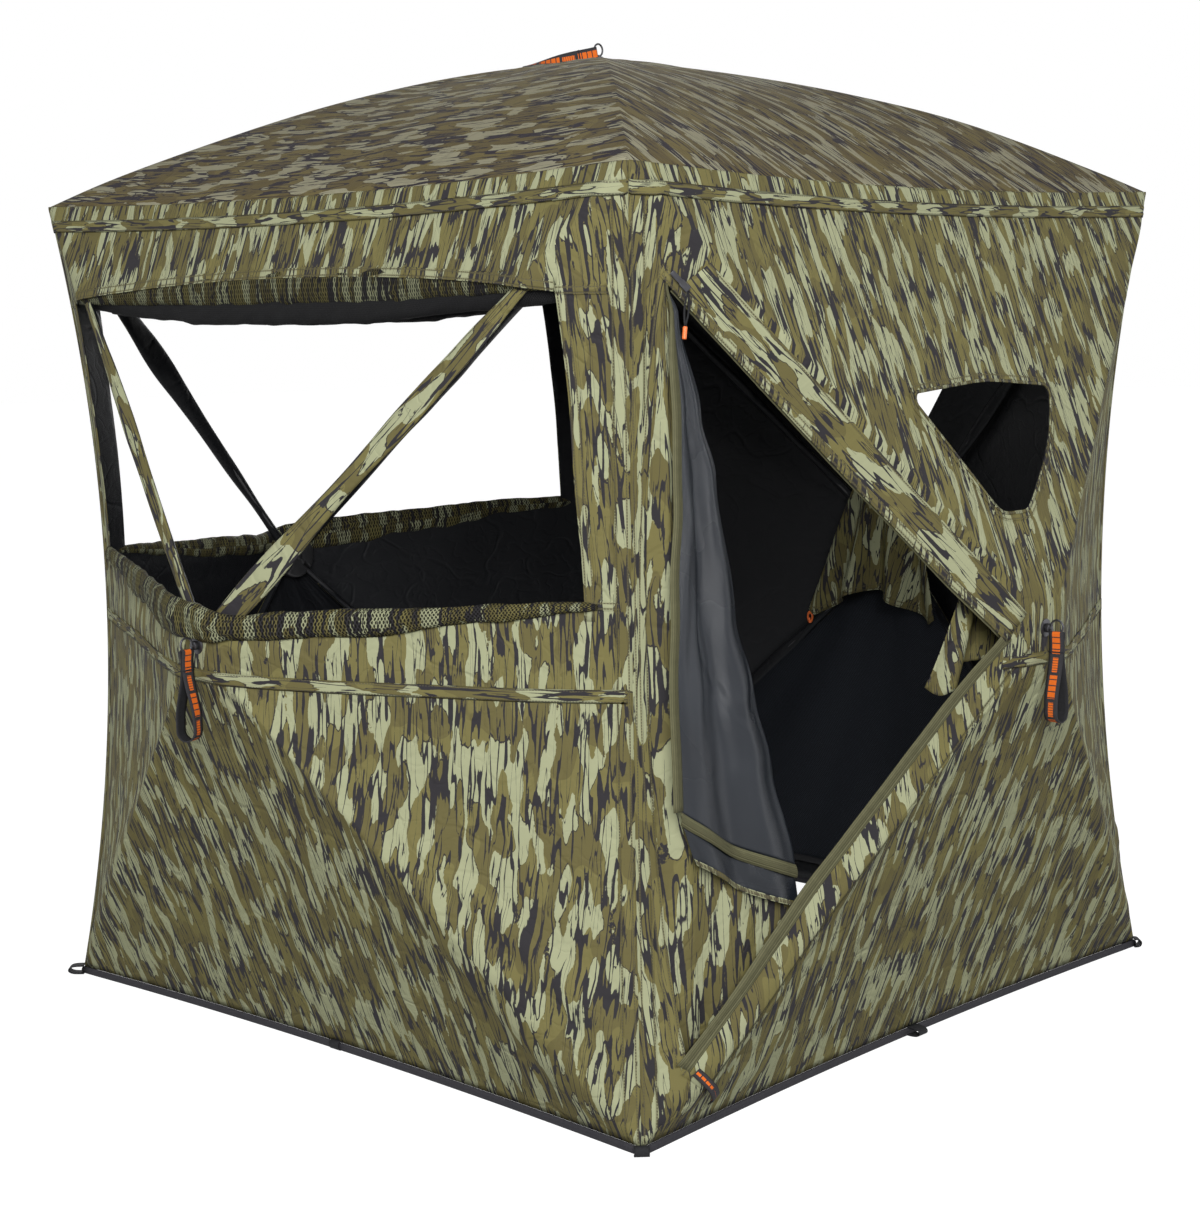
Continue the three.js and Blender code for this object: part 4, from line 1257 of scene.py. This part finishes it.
def pole_line(node, wall):
    """The two ends of a wall's pole in the front wall's place, from its box."""
    low, high = (quarter(-TURNS[wall]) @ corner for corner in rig.box(node))
    side = 1 if (low.x + high.x) > 0 else -1
    rise = 1 if "top" in node else -1
    xs, ys, zs = (sorted((low[i], high[i])) for i in range(3))
    near = Vector((xs[0] if side > 0 else xs[1], ys[0], zs[0] if rise > 0 else zs[1]))
    far = Vector((xs[1] if side > 0 else xs[0], ys[1], zs[1] if rise > 0 else zs[0]))
    return near, far


SLEEVE_COLUMNS, SLEEVE_ROWS = 70, 24  # faces along a sleeve and round it


def sleeve(name, near, far, starts, ends, finishes, width, seed, facing, arch, slack, tight=0.0):
    """A slack sleeve round a pole, from a share of its length to another. arch is the pole's rise,
    slack says how freely the sleeve twists, and tight is the end of the pole where it is narrow. Its
    outer half has the first finish and its inner half the second."""
    way = (far - near).normalized()
    side = way.cross(facing).normalized()
    front = side.cross(way).normalized()
    if front.dot(facing) < 0:
        front = -front

    def place(u, v):
        share = starts + (ends - starts) * u
        middle = near.lerp(far, share) + Vector((0, 0, 4 * arch * share * (1 - share)))
        angle = 2 * math.pi * v
        twist = slack * (0.9 * ripple(share * 3.1, seed, 0.3) + 0.25 * ripple(share * 9, seed, 4))
        half = width / 2 * (0.80 + 0.5 * ripple(share * 4, seed, 7))
        half *= 0.62 + 0.38 * step(0, 0.5, abs(share - tight))
        a = math.cos(angle) * half
        b = math.sin(angle) * (0.0062 + 0.002 * ripple(share * 14, angle, seed))
        wander = 0.0015 * ripple(share * 5, seed, 2)
        across = a * math.cos(twist) - b * math.sin(twist) + wander
        out = a * math.sin(twist) * 0.6 + b * math.cos(twist)
        return middle + side * across + front * out

    length = (far - near).length * (ends - starts)
    around = width * 1.7
    piece = sheet(
        name, SLEEVE_COLUMNS, SLEEVE_ROWS, place, finishes,
        lambda u, v: (v * around + seed, u * length),
    )
    for k, face in enumerate(piece.data.polygons):
        face.material_index = 0 if k // SLEEVE_COLUMNS < SLEEVE_ROWS / 2 else 1
    merge_doubles(piece)
    return modify(piece, "SOLIDIFY", thickness=0.0007, offset=0.0), (around, length)


OUTWARDS, UPWARDS = Vector((0, -1, 0)), Vector((0, 0, 1))
SEED_STEP = 1.37  # from one sleeve to the next
number = 0
for name in TURNS:
    for corner in ("top_left", "top_right", "bottom_left", "bottom_right"):
        node = f"pole_{name}_{corner}"
        number += 1
        near, far = pole_line(node, name)
        loose = name in WINDOW_WALLS and corner.startswith("top")
        starts, width, slack = (0.03, 0.047, 1.0) if loose else (0.07, 0.026, 0.3)
        piece, size = sleeve(
            f"sleeve_{name}_{corner}", near, far, starts, 0.93, [CAMO, COATED], width,
            SEED_STEP * number, OUTWARDS, 0.0, slack, 1.0 if node == "pole_left_top_right" else 0.0,
        )
        turned(piece, name)
        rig.slot(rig.ride(piece, node), "lining_fabric")
        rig.sheet(piece, flat=size, held="gathered", rests_on=[node])
for corner in CORNERS:
    node = f"pole_roof_{corner}"
    low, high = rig.box(node)
    sign = Vector((1 if "right" in corner else -1, 1 if "back" in corner else -1))
    near = Vector((0.016 * sign.x, 0.016 * sign.y, high.z - 0.005))
    far = Vector((low.x if sign.x < 0 else high.x, low.y if sign.y < 0 else high.y, low.z + 0.005))
    number += 1
    piece, size = sleeve(
        f"sleeve_roof_{corner}", near, far, 0.07, 0.95, [SHADED_ROOF_CAMO, COATED], 0.024,
        SEED_STEP * number, UPWARDS, ROOF_BOW, 0.3,
    )
    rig.slot(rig.ride(piece, node), "lining_fabric")
    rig.sheet(piece, flat=size, held="gathered", rests_on=[node])

# ---------------------------------------------------------------- door

DOOR_HEAD = 1.312  # top of the open door's cloth
DOOR_FLAT = (0.58, 1.19)
DOOR_AREA = 0.333  # a triangle with a skirt
DOOR_FOLD = 0.46  # the share of the cloth's width that is its back layer
SKIRT_FLAT = (0.22, 0.052)


def door_depth(x, z):
    """The plane that the open door hangs in."""
    return -0.735 - 0.00847 * (DOOR_TOP - z) - 0.287 * (x - DOOR_HINGE)


def hinge_depth(z):
    return walls["front"].spot(HINGE_SEAM, z)[0].y - 0.0006


zip_side = curve_through([
    (0.40, -0.660), (0.50, -0.667), (0.694, -0.671), (0.845, -0.666), (0.994, -0.657), (1.141, -0.652),
    (1.266, -0.655), (DOOR_HEAD, -0.664),
])
fold_side = curve_through([
    (0.165, -0.440), (0.361, -0.444), (0.409, -0.449), (0.581, -0.491), (0.689, -0.520), (0.813, -0.552),
    (1.023, -0.582), (1.118, -0.606), (1.266, -0.640), (DOOR_HEAD, -0.661),
])


def door_front(p, q, below=0.0):
    """The front layer, from its head (p = 0) to its zip (p = 1), from its free edge (q = 0) to the
    fold (q = 1). below moves a point on past the zip."""
    foot = 0.526 + (0.409 - 0.526) * q - 0.012 * math.sin(math.pi * q)
    z = DOOR_HEAD + (foot - DOOR_HEAD) * p - below
    x = zip_side(z) + (fold_side(z) - zip_side(z)) * q
    hang = step(0.0, 0.5, p)
    swell = 0.016 * math.sqrt(max(0.0, 1 - q ** 4)) * (0.15 + 0.85 * hang)
    wave = 0.026 * math.sin(q * 9.5 + 0.8 + 1.6 * ripple(p * 1.4, q, 31)) * hang * q * (1 - q) * 2
    crease = 0.0045 * ripple(q * 7 + p * 5, p * 4 - q * 4, 35) * hang * (1 - q ** 3)
    return Vector((x, door_depth(x, z) - swell - wave - crease - 0.002, z))


def door_back(p, r):
    """The back layer, from its head (p = 0) to its foot, which is tucked inside the wall, and from
    the fold (r = 0) to the hinge (r = 1)."""
    foot = 0.325 + (0.122 - 0.325) * r - 0.030 * math.sin(math.pi * r)
    z = DOOR_HEAD + (foot - DOOR_HEAD) * p
    x = fold_side(z) + (HINGE_SEAM - fold_side(z)) * r
    hang = step(0.0, 0.4, p)
    swell = 0.010 * math.sqrt(max(0.0, 1 - (1 - r) ** 4)) * hang
    wave = 0.012 * ripple(r * 5, p * 1.7, 41) * hang * step(0.0, 0.2, r)
    free = door_depth(x, z) + swell + wave - 0.001
    sill = DOOR_BOTTOM + (x - DOOR_HINGE) * (DOOR_TIP[1] - DOOR_BOTTOM) / (DOOR_TIP[0] - DOOR_HINGE)
    inside = walls["front"].spot(x, z)[0].y + 0.006
    free += max(inside - free, 0.0) * step(sill + 0.05, sill + 0.005, z)
    return Vector((x, free + (hinge_depth(z) - free) * step(0.80, 1.0, r), z))


def door_cloth(u, v):
    p = 1 - v
    if u < DOOR_FOLD:
        return door_back(p, 1 - u / DOOR_FOLD)
    return door_front(p, (1 - u) / (1 - DOOR_FOLD))


def on_door(piece):
    """Lets a piece swing with the door, all but what is sewn to the wall at its hinge."""
    start, end = (-0.668, -0.705, 0.7), (-0.662, -0.735, 0.7)
    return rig.blend(piece, "root", "door_flap", start=start, end=end)


def zip_swell(share):
    """How far the zip's tape stands out of the door's cloth, across its width."""
    return -0.0025 - 0.003 * math.sin(math.pi * share)


def zip_edge_place(u, v):
    across = (-0.015 + 0.021 * u) * step(1.02, 0.80, v)
    return door_front(1 - v, 0.0) + Vector((across, zip_swell(u), 0))


def zip_foot_place(u, v):
    return door_front(1.0, u, 0.021 * (1 - v)) + Vector((0, zip_swell(v), 0))


door = sheet(
    "door_cloth", 92, 130, door_cloth, [CAMO, LINING], lambda u, v: (u * 0.42 + 6.2, v * 1.02 + 2.2)
)
thicken(door, 0.0012)
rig.replaces(on_door(door), "door_flap")

zip_edge = sheet(
    "door_zip_edge", 4, 90, zip_edge_place, [ZIP], None, lambda u, v: (v * 0.75, from_edge(u, 0.020))
)
zip_foot = sheet(
    "door_zip_foot", 70, 4, zip_foot_place, [ZIP], None, lambda u, v: (u * 0.25, from_edge(v, 0.021))
)
for strip in (zip_edge, zip_foot):
    thicken(strip, 0.0012, offset=1.0)
door_zip = join("door_zip", [zip_edge, zip_foot])


def skirt_place(u, v):
    """The flounce below the front layer's zip, u along it and v up to the zip."""
    q = 0.04 + 0.97 * u
    drop = (1 - v) * (0.062 - 0.014 * u)
    sway = 0.006 * ripple(u * 7, v * 1.5, 51) * (1 - v)
    flare = Vector((0.020 * (1 - v) * (1 - u), sway + 0.001, 0))
    return door_front(1.0, min(q, 1.0), 0.020 + drop) + flare


def skirt_hem_place(u, v):
    return skirt_place(u, 0.16 * v) + Vector((0, -0.0012 - 0.001 * math.sin(math.pi * v), 0))


skirt_width = SKIRT_FLAT[0]
skirt = sheet(
    "door_skirt", 60, 14, skirt_place, [LINING, CAMO],
    lambda u, v: (u * skirt_width + 3.3, v * 0.06 + 1.1),
)
skirt_hem = sheet(
    "door_skirt_hem", 60, 3, skirt_hem_place, [SEAM],
    lambda u, v: (u * skirt_width + 3.3, v * 0.01 + 1.1),
    lambda u, v: (u * skirt_width, from_edge(v, 0.010)),
)
thicken(skirt, 0.0010)
thicken(skirt_hem, 0.0012, offset=1.0)
for piece in (door_zip, skirt, skirt_hem):
    on_door(piece)
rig.slot(door_zip, "zip_tape")
for piece in (door, skirt, skirt_hem):
    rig.slot(piece, "lining_fabric")
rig.sheet(
    door, flat=DOOR_FLAT, held="folded", area=DOOR_AREA, rests_on=["wall_front"],
    with_pieces=[door_zip],
)
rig.sheet(skirt, flat=SKIRT_FLAT, held="hung", rests_on=["door_flap"], with_pieces=[skirt_hem])

# ---------------------------------------------------------------- window flaps and gear pocket

FLAP_DROPS = {"front": (0.245, 0.305), "right": (0.285, 0.365)}  # of a flap's middle and corners
FLAP_WIDTH = 0.44  # of the cut cloth at its foot
FLAP_MEAN = 0.27  # its mean width
FLAP_HEM = 0.05  # the share of a flap's drop that its hem covers
FLAP_HEM_WIDTH = 0.014
POCKET_FLAT = (1.42, 0.66)
POCKET_AREA = 0.53
POCKET_HEM = 0.014


def hook(name, place):
    """A small moulded hook, an oval link with a blunt tongue, on a short elastic."""
    bpy.ops.mesh.primitive_torus_add(
        major_segments=28, minor_segments=10, major_radius=0.0064, minor_radius=0.0022,
        location=place + Vector((0, 0, -0.018)), rotation=(math.pi / 2, 0, 0),
    )
    link = bpy.context.object
    link.scale = (1, 1.7, 1)
    bpy.ops.object.transform_apply()
    tongue = pin(0.0030, 0.012, place + Vector((0.0016, 0, -0.026)), (0, 0.25, 0), 20, 0.0012, 3)
    piece = smooth(coat(join(f"{name}_hook", [link, tongue]), ORANGE_PLASTIC))
    points = [place + Vector((0, 0, 0.004 - 0.0024 * k)) for k in range(6)]
    widths = [Vector((1, 0, 0))] * len(points)
    return piece, strip_along(f"{name}_elastic", points, widths, 0.006, [WEBBING], 0.0012)


def hung_flap(name):
    """The cloth that closes a three-cornered window, hanging inside it by the window's lower edge."""
    low, high = (quarter(-TURNS[name]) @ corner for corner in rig.box(f"window_flap_{name}"))
    front = min(low.y, high.y)
    middle, corner = FLAP_DROPS[name]

    def place(u, v):
        t, s = 1 - v, 2 * u - 1
        half = 0.052 + 0.118 * t ** 0.85
        drop = middle + (corner - middle) * abs(s) ** 1.5 - 0.030 * step(0.86, 1.04, abs(s))
        pleat = 0.029 * (0.6 - math.cos(math.tau * 1.45 * s + 0.5 * t)) * t ** 0.8 * (1 - 0.6 * s ** 4)
        slack = 0.010 * ripple(u * 5.5, t * 2.2, 63 + TURNS[name]) * t
        return Vector((s * half, front + 0.004 + 0.040 * t + pleat + slack, high.z - drop * t))

    def cloth(u, v):
        return (2 * u - 1) * (0.052 + 0.170 * (1 - v)) + 7, v * 0.31

    piece = sheet(f"window_flap_{name}_cloth", 72, 56, place, [CAMO], cloth)
    thicken(piece, 0.0012, offset=0.0)
    hem = sheet(
        f"window_flap_{name}_hem", 72, 2,
        lambda u, v: place(u, FLAP_HEM * v) + Vector((0, 0.0014, 0)), [SEAM],
        lambda u, v: cloth(u, FLAP_HEM * v), lambda u, v: (u * 0.42, from_edge(v, FLAP_HEM_WIDTH)),
    )
    thicken(hem, 0.0010, offset=0.0)
    parts = [piece, hem, *hook(f"window_flap_{name}", place(1.0, 0.0) + Vector((-0.004, 0.002, 0)))]
    for part, slot in zip(parts, ("camo_fabric", "camo_fabric", "webbing", "webbing")):
        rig.slot(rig.ride(turned(part, name), f"window_flap_{name}"), slot)
    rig.replaces(piece, f"window_flap_{name}")
    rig.sheet(
        piece, flat=(FLAP_WIDTH, corner), held="hung", area=FLAP_MEAN * corner,
        rests_on=[f"wall_{name}"], with_pieces=parts[1:],
    )


def gear_pocket():
    """The net pocket inside the right wall, with webbing round it."""
    wall = walls["right"]
    low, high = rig.box("gear_pocket")
    bottom, top = low.z, high.z

    def place(u, v):
        s = 2 * u - 1
        half = high.y * (1 - v) + 0.150 * v
        crown = 0.075 * (1 - s * s) * v
        x, z = s * half, bottom + (top - bottom) * v + crown
        spot, _ = wall.spot(x, z)
        middle = math.sin(math.pi * u)
        sag = 0.018 + 0.018 * middle * (0.4 + 0.6 * v)
        sag += 0.017 * ripple(s * 4.2, z * 1.1, 71) * middle + 0.004 * ripple(x * 12, z * 7, 72)
        return Vector((x, spot.y + sag, z))

    net = sheet(
        "gear_pocket_net", 60, 44, place, [POCKET_NET],
        lambda u, v: ((2 * u - 1) * (0.7 - 0.5 * v), v * 0.6),
    )
    thicken(net, 0.0012, offset=0.0)
    inwards = Vector((0, 0.0022, 0))
    upright, level = Vector((0, 0, POCKET_HEM)), Vector((POCKET_HEM, 0, 0))
    rim = []
    for name, at, width in (
        ("top", lambda t: place(t, 1.0), upright), ("left", lambda t: place(0.0, t), level),
        ("right", lambda t: place(1.0, t), level), ("bottom", lambda t: place(t, 0.0), upright),
    ):
        rim.append(sheet(
            f"gear_pocket_rim_{name}", 50, 2,
            lambda u, v: at(u) + inwards + width * (v - 0.5),
            [WEBBING], None, lambda u, v: (u * 0.8, from_edge(v, POCKET_HEM)),
        ))
        thicken(rim[-1], 0.0014, offset=0.0)
    edge = join("gear_pocket_rim", rim)
    for part in (net, edge):
        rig.slot(with_wall(part, "right", -0.035), "window_mesh")
    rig.replaces(net, "gear_pocket")
    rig.sheet(
        net, flat=POCKET_FLAT, held="hung", area=POCKET_AREA, rests_on=["wall_right"],
        with_pieces=[edge],
    )


hung_flap("front")
hung_flap("right")
gear_pocket()

# ---------------------------------------------------------------- straps

STRAP_WIDTH = 0.025
STRAP_DROP = 0.146  # of a loop that hangs on a wall
WALL_STRAP_CUT, ROOF_STRAP_CUT = 0.355, 0.325  # both legs and the sewn ends
BARTACK = 0.030  # how far down a loop its two legs are sewn together


def strap_loop(name, pivot, down, lean, spread, length, twist):
    """A pull loop of webbing that hangs from a ring along down. Its marked leg lies towards lean,
    spread is half the width of its foot, and twist is how far it has turned there."""
    down = down.normalized()
    lean = (lean - down * lean.dot(down)).normalized()
    leg = [(0.0035 * math.sin(a), -0.0035 * math.cos(a)) for a in (math.pi * k / 12 for k in range(6))]
    for k in range(27):
        t = k / 26
        apart = 0.0035 - 0.0019 * step(0.0, 0.12, t) + (spread - 0.0016) * step(0.20, 0.85, t)
        leg.append((apart, t * (length - spread)))
    bend = [math.pi * k / 16 for k in range(1, 16)]
    outline = leg + [(spread * math.cos(a), length - spread * (1 - math.sin(a))) for a in bend]
    outline += [(-x, z) for x, z in reversed(leg)]

    def turned_lean(z):
        return Matrix.Rotation(twist * step(0.1, 1.0, z / length), 3, down) @ lean

    points = [pivot + turned_lean(z) * x + down * z for x, z in outline]
    widths = [turned_lean(z).cross(down) for _, z in outline]
    loop = strip_along(f"{name}_loop", points, widths, STRAP_WIDTH, [STRAP, WEBBING])
    way = turned_lean(BARTACK)
    tack = [pivot + down * BARTACK + way * (0.0009 * k) for k in range(-4, 5)]
    widths = [way.cross(down)] * len(tack)
    bar = strip_along(f"{name}_bartack", tack, widths, STRAP_WIDTH + 0.0008, [WEBBING], 0.0024)
    return join(f"{name}_webbing", [loop, bar])


EYE_R = 0.0112  # middle of the wire of the ring that a strap hangs from


def hang_strap(wall, turn, twist):
    """A strap below a wall's ring, its marked leg turned by turn degrees from facing out."""
    name = f"pull_strap_{wall}"
    lean = Matrix.Rotation(math.radians(turn), 3, "Z") @ OUTWARDS
    pivot = Vector((0, -1.0013, 0.7395))
    strap = turned(strap_loop(name, pivot, -UPWARDS, lean, 0.0165, STRAP_DROP, twist), wall)
    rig.slot(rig.replaces(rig.ride(strap, name), name), "webbing")
    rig.sheet(
        strap, flat=(STRAP_WIDTH, WALL_STRAP_CUT), held="hung", rests_on=[f"ring_bolt_{wall}"]
    )


for wall, turn, twist in (
    ("front", -82, 0.16), ("right", 93, -0.2), ("back", -96, 0.15), ("left", 99, -0.2),
):
    hang_strap(wall, turn, twist)
low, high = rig.box("pull_strap_roof")
top = Vector((-EYE_R, 0, high.z - 0.0135))
foot = Vector((0.62 * low.x, -0.72 * low.x, low.z + 0.0060))
roof_strap = strap_loop(
    "pull_strap_roof", top, foot - top, Vector((-0.77, -0.64, 0)), 0.0028, (foot - top).length, 1.45
)
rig.slot(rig.replaces(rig.ride(roof_strap, "pull_strap_roof"), "pull_strap_roof"), "webbing")
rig.sheet(
    roof_strap, flat=(STRAP_WIDTH, ROOF_STRAP_CUT), held="laid",
    rests_on=["ring_bolt_roof", "roof_skin"],
)

# ---------------------------------------------------------------- tab and zip pull


def door_tab():
    """A short webbing tab at the foot of the door's opening."""
    points, widths = [], []
    for k in range(13):
        t = k / 12
        lift = 0.003 + 0.012 * math.sin(math.pi * 0.75 * t)
        spot, normal = walls["front"].spot(-0.651 + 0.046 * t, 0.119 - 0.056 * t, lift)
        points.append(spot)
        widths.append(normal.cross(Vector((0.046, 0, -0.056))).normalized())
    tab = strip_along("door_tab", points, widths, 0.016, [STRAP])
    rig.slot(with_wall(tab, "front"), "webbing")


def zip_pull():
    """The upper slider's pull, a folded tape with a moulded end."""
    start = Vector((-0.656, -0.778, 1.300))
    way = Vector((-0.012, -0.004, -0.052))
    across = Vector((0.9, -0.44, 0)).normalized()
    tapes = []
    for side in (-1, 1):
        points = []
        for k in range(9):
            bulge = across * side * 0.0034 * math.sin(math.pi * k / 8)
            points.append(start + way * (k / 8) + bulge)
        tapes.append(strip_along("zip_pull_tape", points, [across] * 9, 0.0028, [WEBBING], 0.0014))
    slant = way.to_track_quat("Z", "Y").to_euler()
    end = pin(0.0034, 0.019, start + way * 1.16, slant, 20, 0.0014, 3)
    pull = join("zip_pull_upper", [*tapes, coat(end, ORANGE_PLASTIC)])
    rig.slot(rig.ride(pull, "zip_slider_upper"), "webbing")


door_tab()
zip_pull()

# ---------------------------------------------------------------- ground hem

HEM_SIDE = 40  # faces of the hem's binding along a side
HEM_ROUND = 4 * HEM_SIDE
HEM_LENGTH = 5.9  # all round
BINDING_WIDTH = 0.014
hem_line = [quarter(side) @ wall_edge(k / HEM_SIDE) for side in range(4) for k in range(HEM_SIDE)]


def hem_place(u, v):
    """The binding folded round the hem, u along it and v round it."""
    k = round(u * HEM_ROUND)
    point, ahead, behind = (hem_line[(k + move) % HEM_ROUND] for move in (0, 1, -1))
    out = (ahead - behind).cross(UPWARDS).normalized()
    angle = 2 * math.pi * v
    corner = 1.25 if k % HEM_SIDE == 0 else 1.0
    up = Vector((0, 0, 0.0072 + 0.0070 * math.sin(angle)))
    return Vector((point.x, point.y, 0)) + out * (0.0012 + 0.0042 * math.cos(angle) * corner) + up


binding = sheet(
    "ground_binding", HEM_ROUND, 12, hem_place, [HEM], None,
    lambda u, v: (u * HEM_LENGTH, from_edge(v, BINDING_WIDTH)),
)
merge_doubles(binding)


def stake_loop(place, out, reach_out):
    """A folded webbing loop that a stake goes through."""
    across = Vector((-out.y, out.x, 0))
    points, widths = [], []
    for k in range(25):
        angle = math.pi * (k / 24 - 0.5)
        reach = reach_out * math.cos(angle) ** 0.5 if abs(angle) < 1.57 else 0
        points.append(place + out * reach + Vector((0, 0, 0.0095 + 0.0075 * math.sin(angle))))
        widths.append(across)
    return strip_along("stake_loop", points, widths, 0.024, [WEBBING])


# of the loops at a side's left corner and middle; some are tucked in
LOOP_REACHES = ((0.011, 0.030), (0.014, 0.030), (0.030, 0.030), (0.030, 0.010))
loops = []
for side, reaches in enumerate(LOOP_REACHES):
    spots = (Vector((-HALF, -HALF, 0)), Vector((0, -HALF + HEM_BOW, 0)))
    ways = (Vector((-1, -1, 0)).normalized(), OUTWARDS)
    for spot, way, reach in zip(spots, ways, reaches):
        loops.append(stake_loop(quarter(side) @ spot, quarter(side) @ way, reach))
loops = join("stake_loops", loops)
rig.ride(binding, "root")
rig.replaces(binding, "ground_hem")
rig.ride(loops, "root")
for piece in (binding, loops):
    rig.slot(piece, "webbing")

# ---------------------------------------------------------------- hubs and other hard parts

SMOOTH_ANGLE = 35  # hard parts keep edges sharper than this, in degrees


def dressed(node, finish, width=0.0009):
    """A CAD node's shape with its edges eased."""
    source = frame["nodes"][node]
    piece = twin(source, f"{node}_eased", finish, (0, 0, 0))
    merge_doubles(piece, 2e-5)
    modify(
        piece, "BEVEL", width=width, segments=2, limit_method="ANGLE", angle_limit=math.radians(32)
    )
    smooth(piece, SMOOTH_ANGLE)
    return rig.replaces(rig.ride(piece, source["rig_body"]), node)


def rod(radius, start, end, sides, ease):
    """A pin along Y from start to end."""
    middle = (0, (start + end) / 2, 0)
    return pin(radius, abs(end - start), middle, (math.pi / 2, 0, 0), sides, ease, 2)


def eye_bolt(name, placing):
    """The bolt through a hub, with its nut inside and its knob, washer and ring outside. It is made
    with the cloth's outer face at the origin and the ring out along -Y."""
    washer = rod(0.0150, 0.0, -0.0022, 40, 0.0009)
    knob = rod(0.0080, -0.0022, -0.0100, 10, 0.0016)
    shank = rod(0.0036, 0.0435, -0.0135, 20, 0.0004)
    nut = rod(0.0080, 0.0378, 0.0442, 6, 0.0008)
    bpy.ops.mesh.primitive_torus_add(
        major_segments=40, minor_segments=12, major_radius=EYE_R, minor_radius=0.0018,
        location=(0, -0.0223, EYE_R - 0.0085), rotation=(0, math.pi / 2, 0),
    )
    eye = bpy.context.object
    bpy.ops.object.transform_apply()
    piece = coat(join(f"eye_bolt_{name}", [washer, knob, shank, nut, eye]), STEEL)
    piece.data.transform(placing)
    smooth(piece, SMOOTH_ANGLE)
    node = f"ring_bolt_{name}"
    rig.slot(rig.replaces(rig.ride(piece, frame["nodes"][node]["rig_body"]), node), "steel")


for name, turns in TURNS.items():
    eye_bolt(name, quarter(turns, 4) @ Matrix.Translation((0, -APEX, HUB_Z)))
upright = quarter(1, 4) @ Matrix.Rotation(-math.pi / 2, 4, "X")
eye_bolt("roof", Matrix.Translation((0, 0, ROOF_TOP)) @ upright)

for name in (*TURNS, "roof"):
    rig.slot(dressed(f"hub_{name}", NYLON), "hub_plastic")
for name in ("upper", "lower"):
    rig.slot(dressed(f"zip_slider_{name}", STEEL, 0.0004), "slider_plastic")
for corner in CORNERS:
    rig.slot(dressed(f"corner_pocket_{corner}", WEBBING, 0.0015), "webbing")

for name, node in frame["nodes"].items():
    if name.startswith("pole"):
        coat(node, RODS)

# ---------------------------------------------------------------- studio

LAMPS = (  # place, size and power of each
    ((-4.6, -4.5, 3.0), 2.6, 450),
    ((-5.5, 2.0, 2.2), 2.5, 60),
    ((3.5, -5.5, 2.2), 2.5, 80),
    ((4.5, 4.5, 2.4), 3.0, 130),
)
LAMP_TARGET = Vector((0, 0, 0.8))


def studio():
    """A pale floor and backdrop, and soft lamps at a plain level."""
    bpy.ops.mesh.primitive_plane_add(size=60, location=(0, 0, 0))
    floor = bpy.context.object
    floor.name = "floor"
    finish = Finish("pale_floor", (0.19, 0.19, 0.19), 0.9, Specular_IOR_Level=0.1)
    plain = Signal(finish, finish.shader.outputs[0])
    glow = finish.node("ShaderNodeEmission", {}, {"Strength": 0.95})
    lit = finish.node("ShaderNodeAddShader", {}, {0: plain, 1: glow})
    finish.end_by_sight(plain, lit, "Material Output")
    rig.stage(coat(floor, finish.material))
    world = bpy.data.worlds.new("studio")
    bpy.context.scene.world = world
    world.use_nodes = True
    sky = Nodes(world.node_tree)
    soft = world.node_tree.nodes["Background"]
    soft.inputs["Color"].default_value = (0.94, 0.97, 1.0, 1)
    soft.inputs["Strength"].default_value = 0.15
    white = sky.node("ShaderNodeBackground", {}, {"Color": (1, 1, 1, 1), "Strength": 1.0})
    sky.end_by_sight(Signal(sky, soft.outputs[0]), white, "World Output")
    for place, size, power in LAMPS:
        bpy.ops.object.light_add(type="AREA", location=place)
        lamp = bpy.context.object
        lamp.data.size = size
        lamp.data.energy = power
        lamp.rotation_euler = (LAMP_TARGET - lamp.location).to_track_quat("-Z", "Y").to_euler()


studio()
bpy.context.scene.view_settings.view_transform = "Standard"
dressed_box = [list(corner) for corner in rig.bounds()]
with open("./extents.json", "w") as out:
    json.dump({"cad": cad_box, "visual": dressed_box}, out)
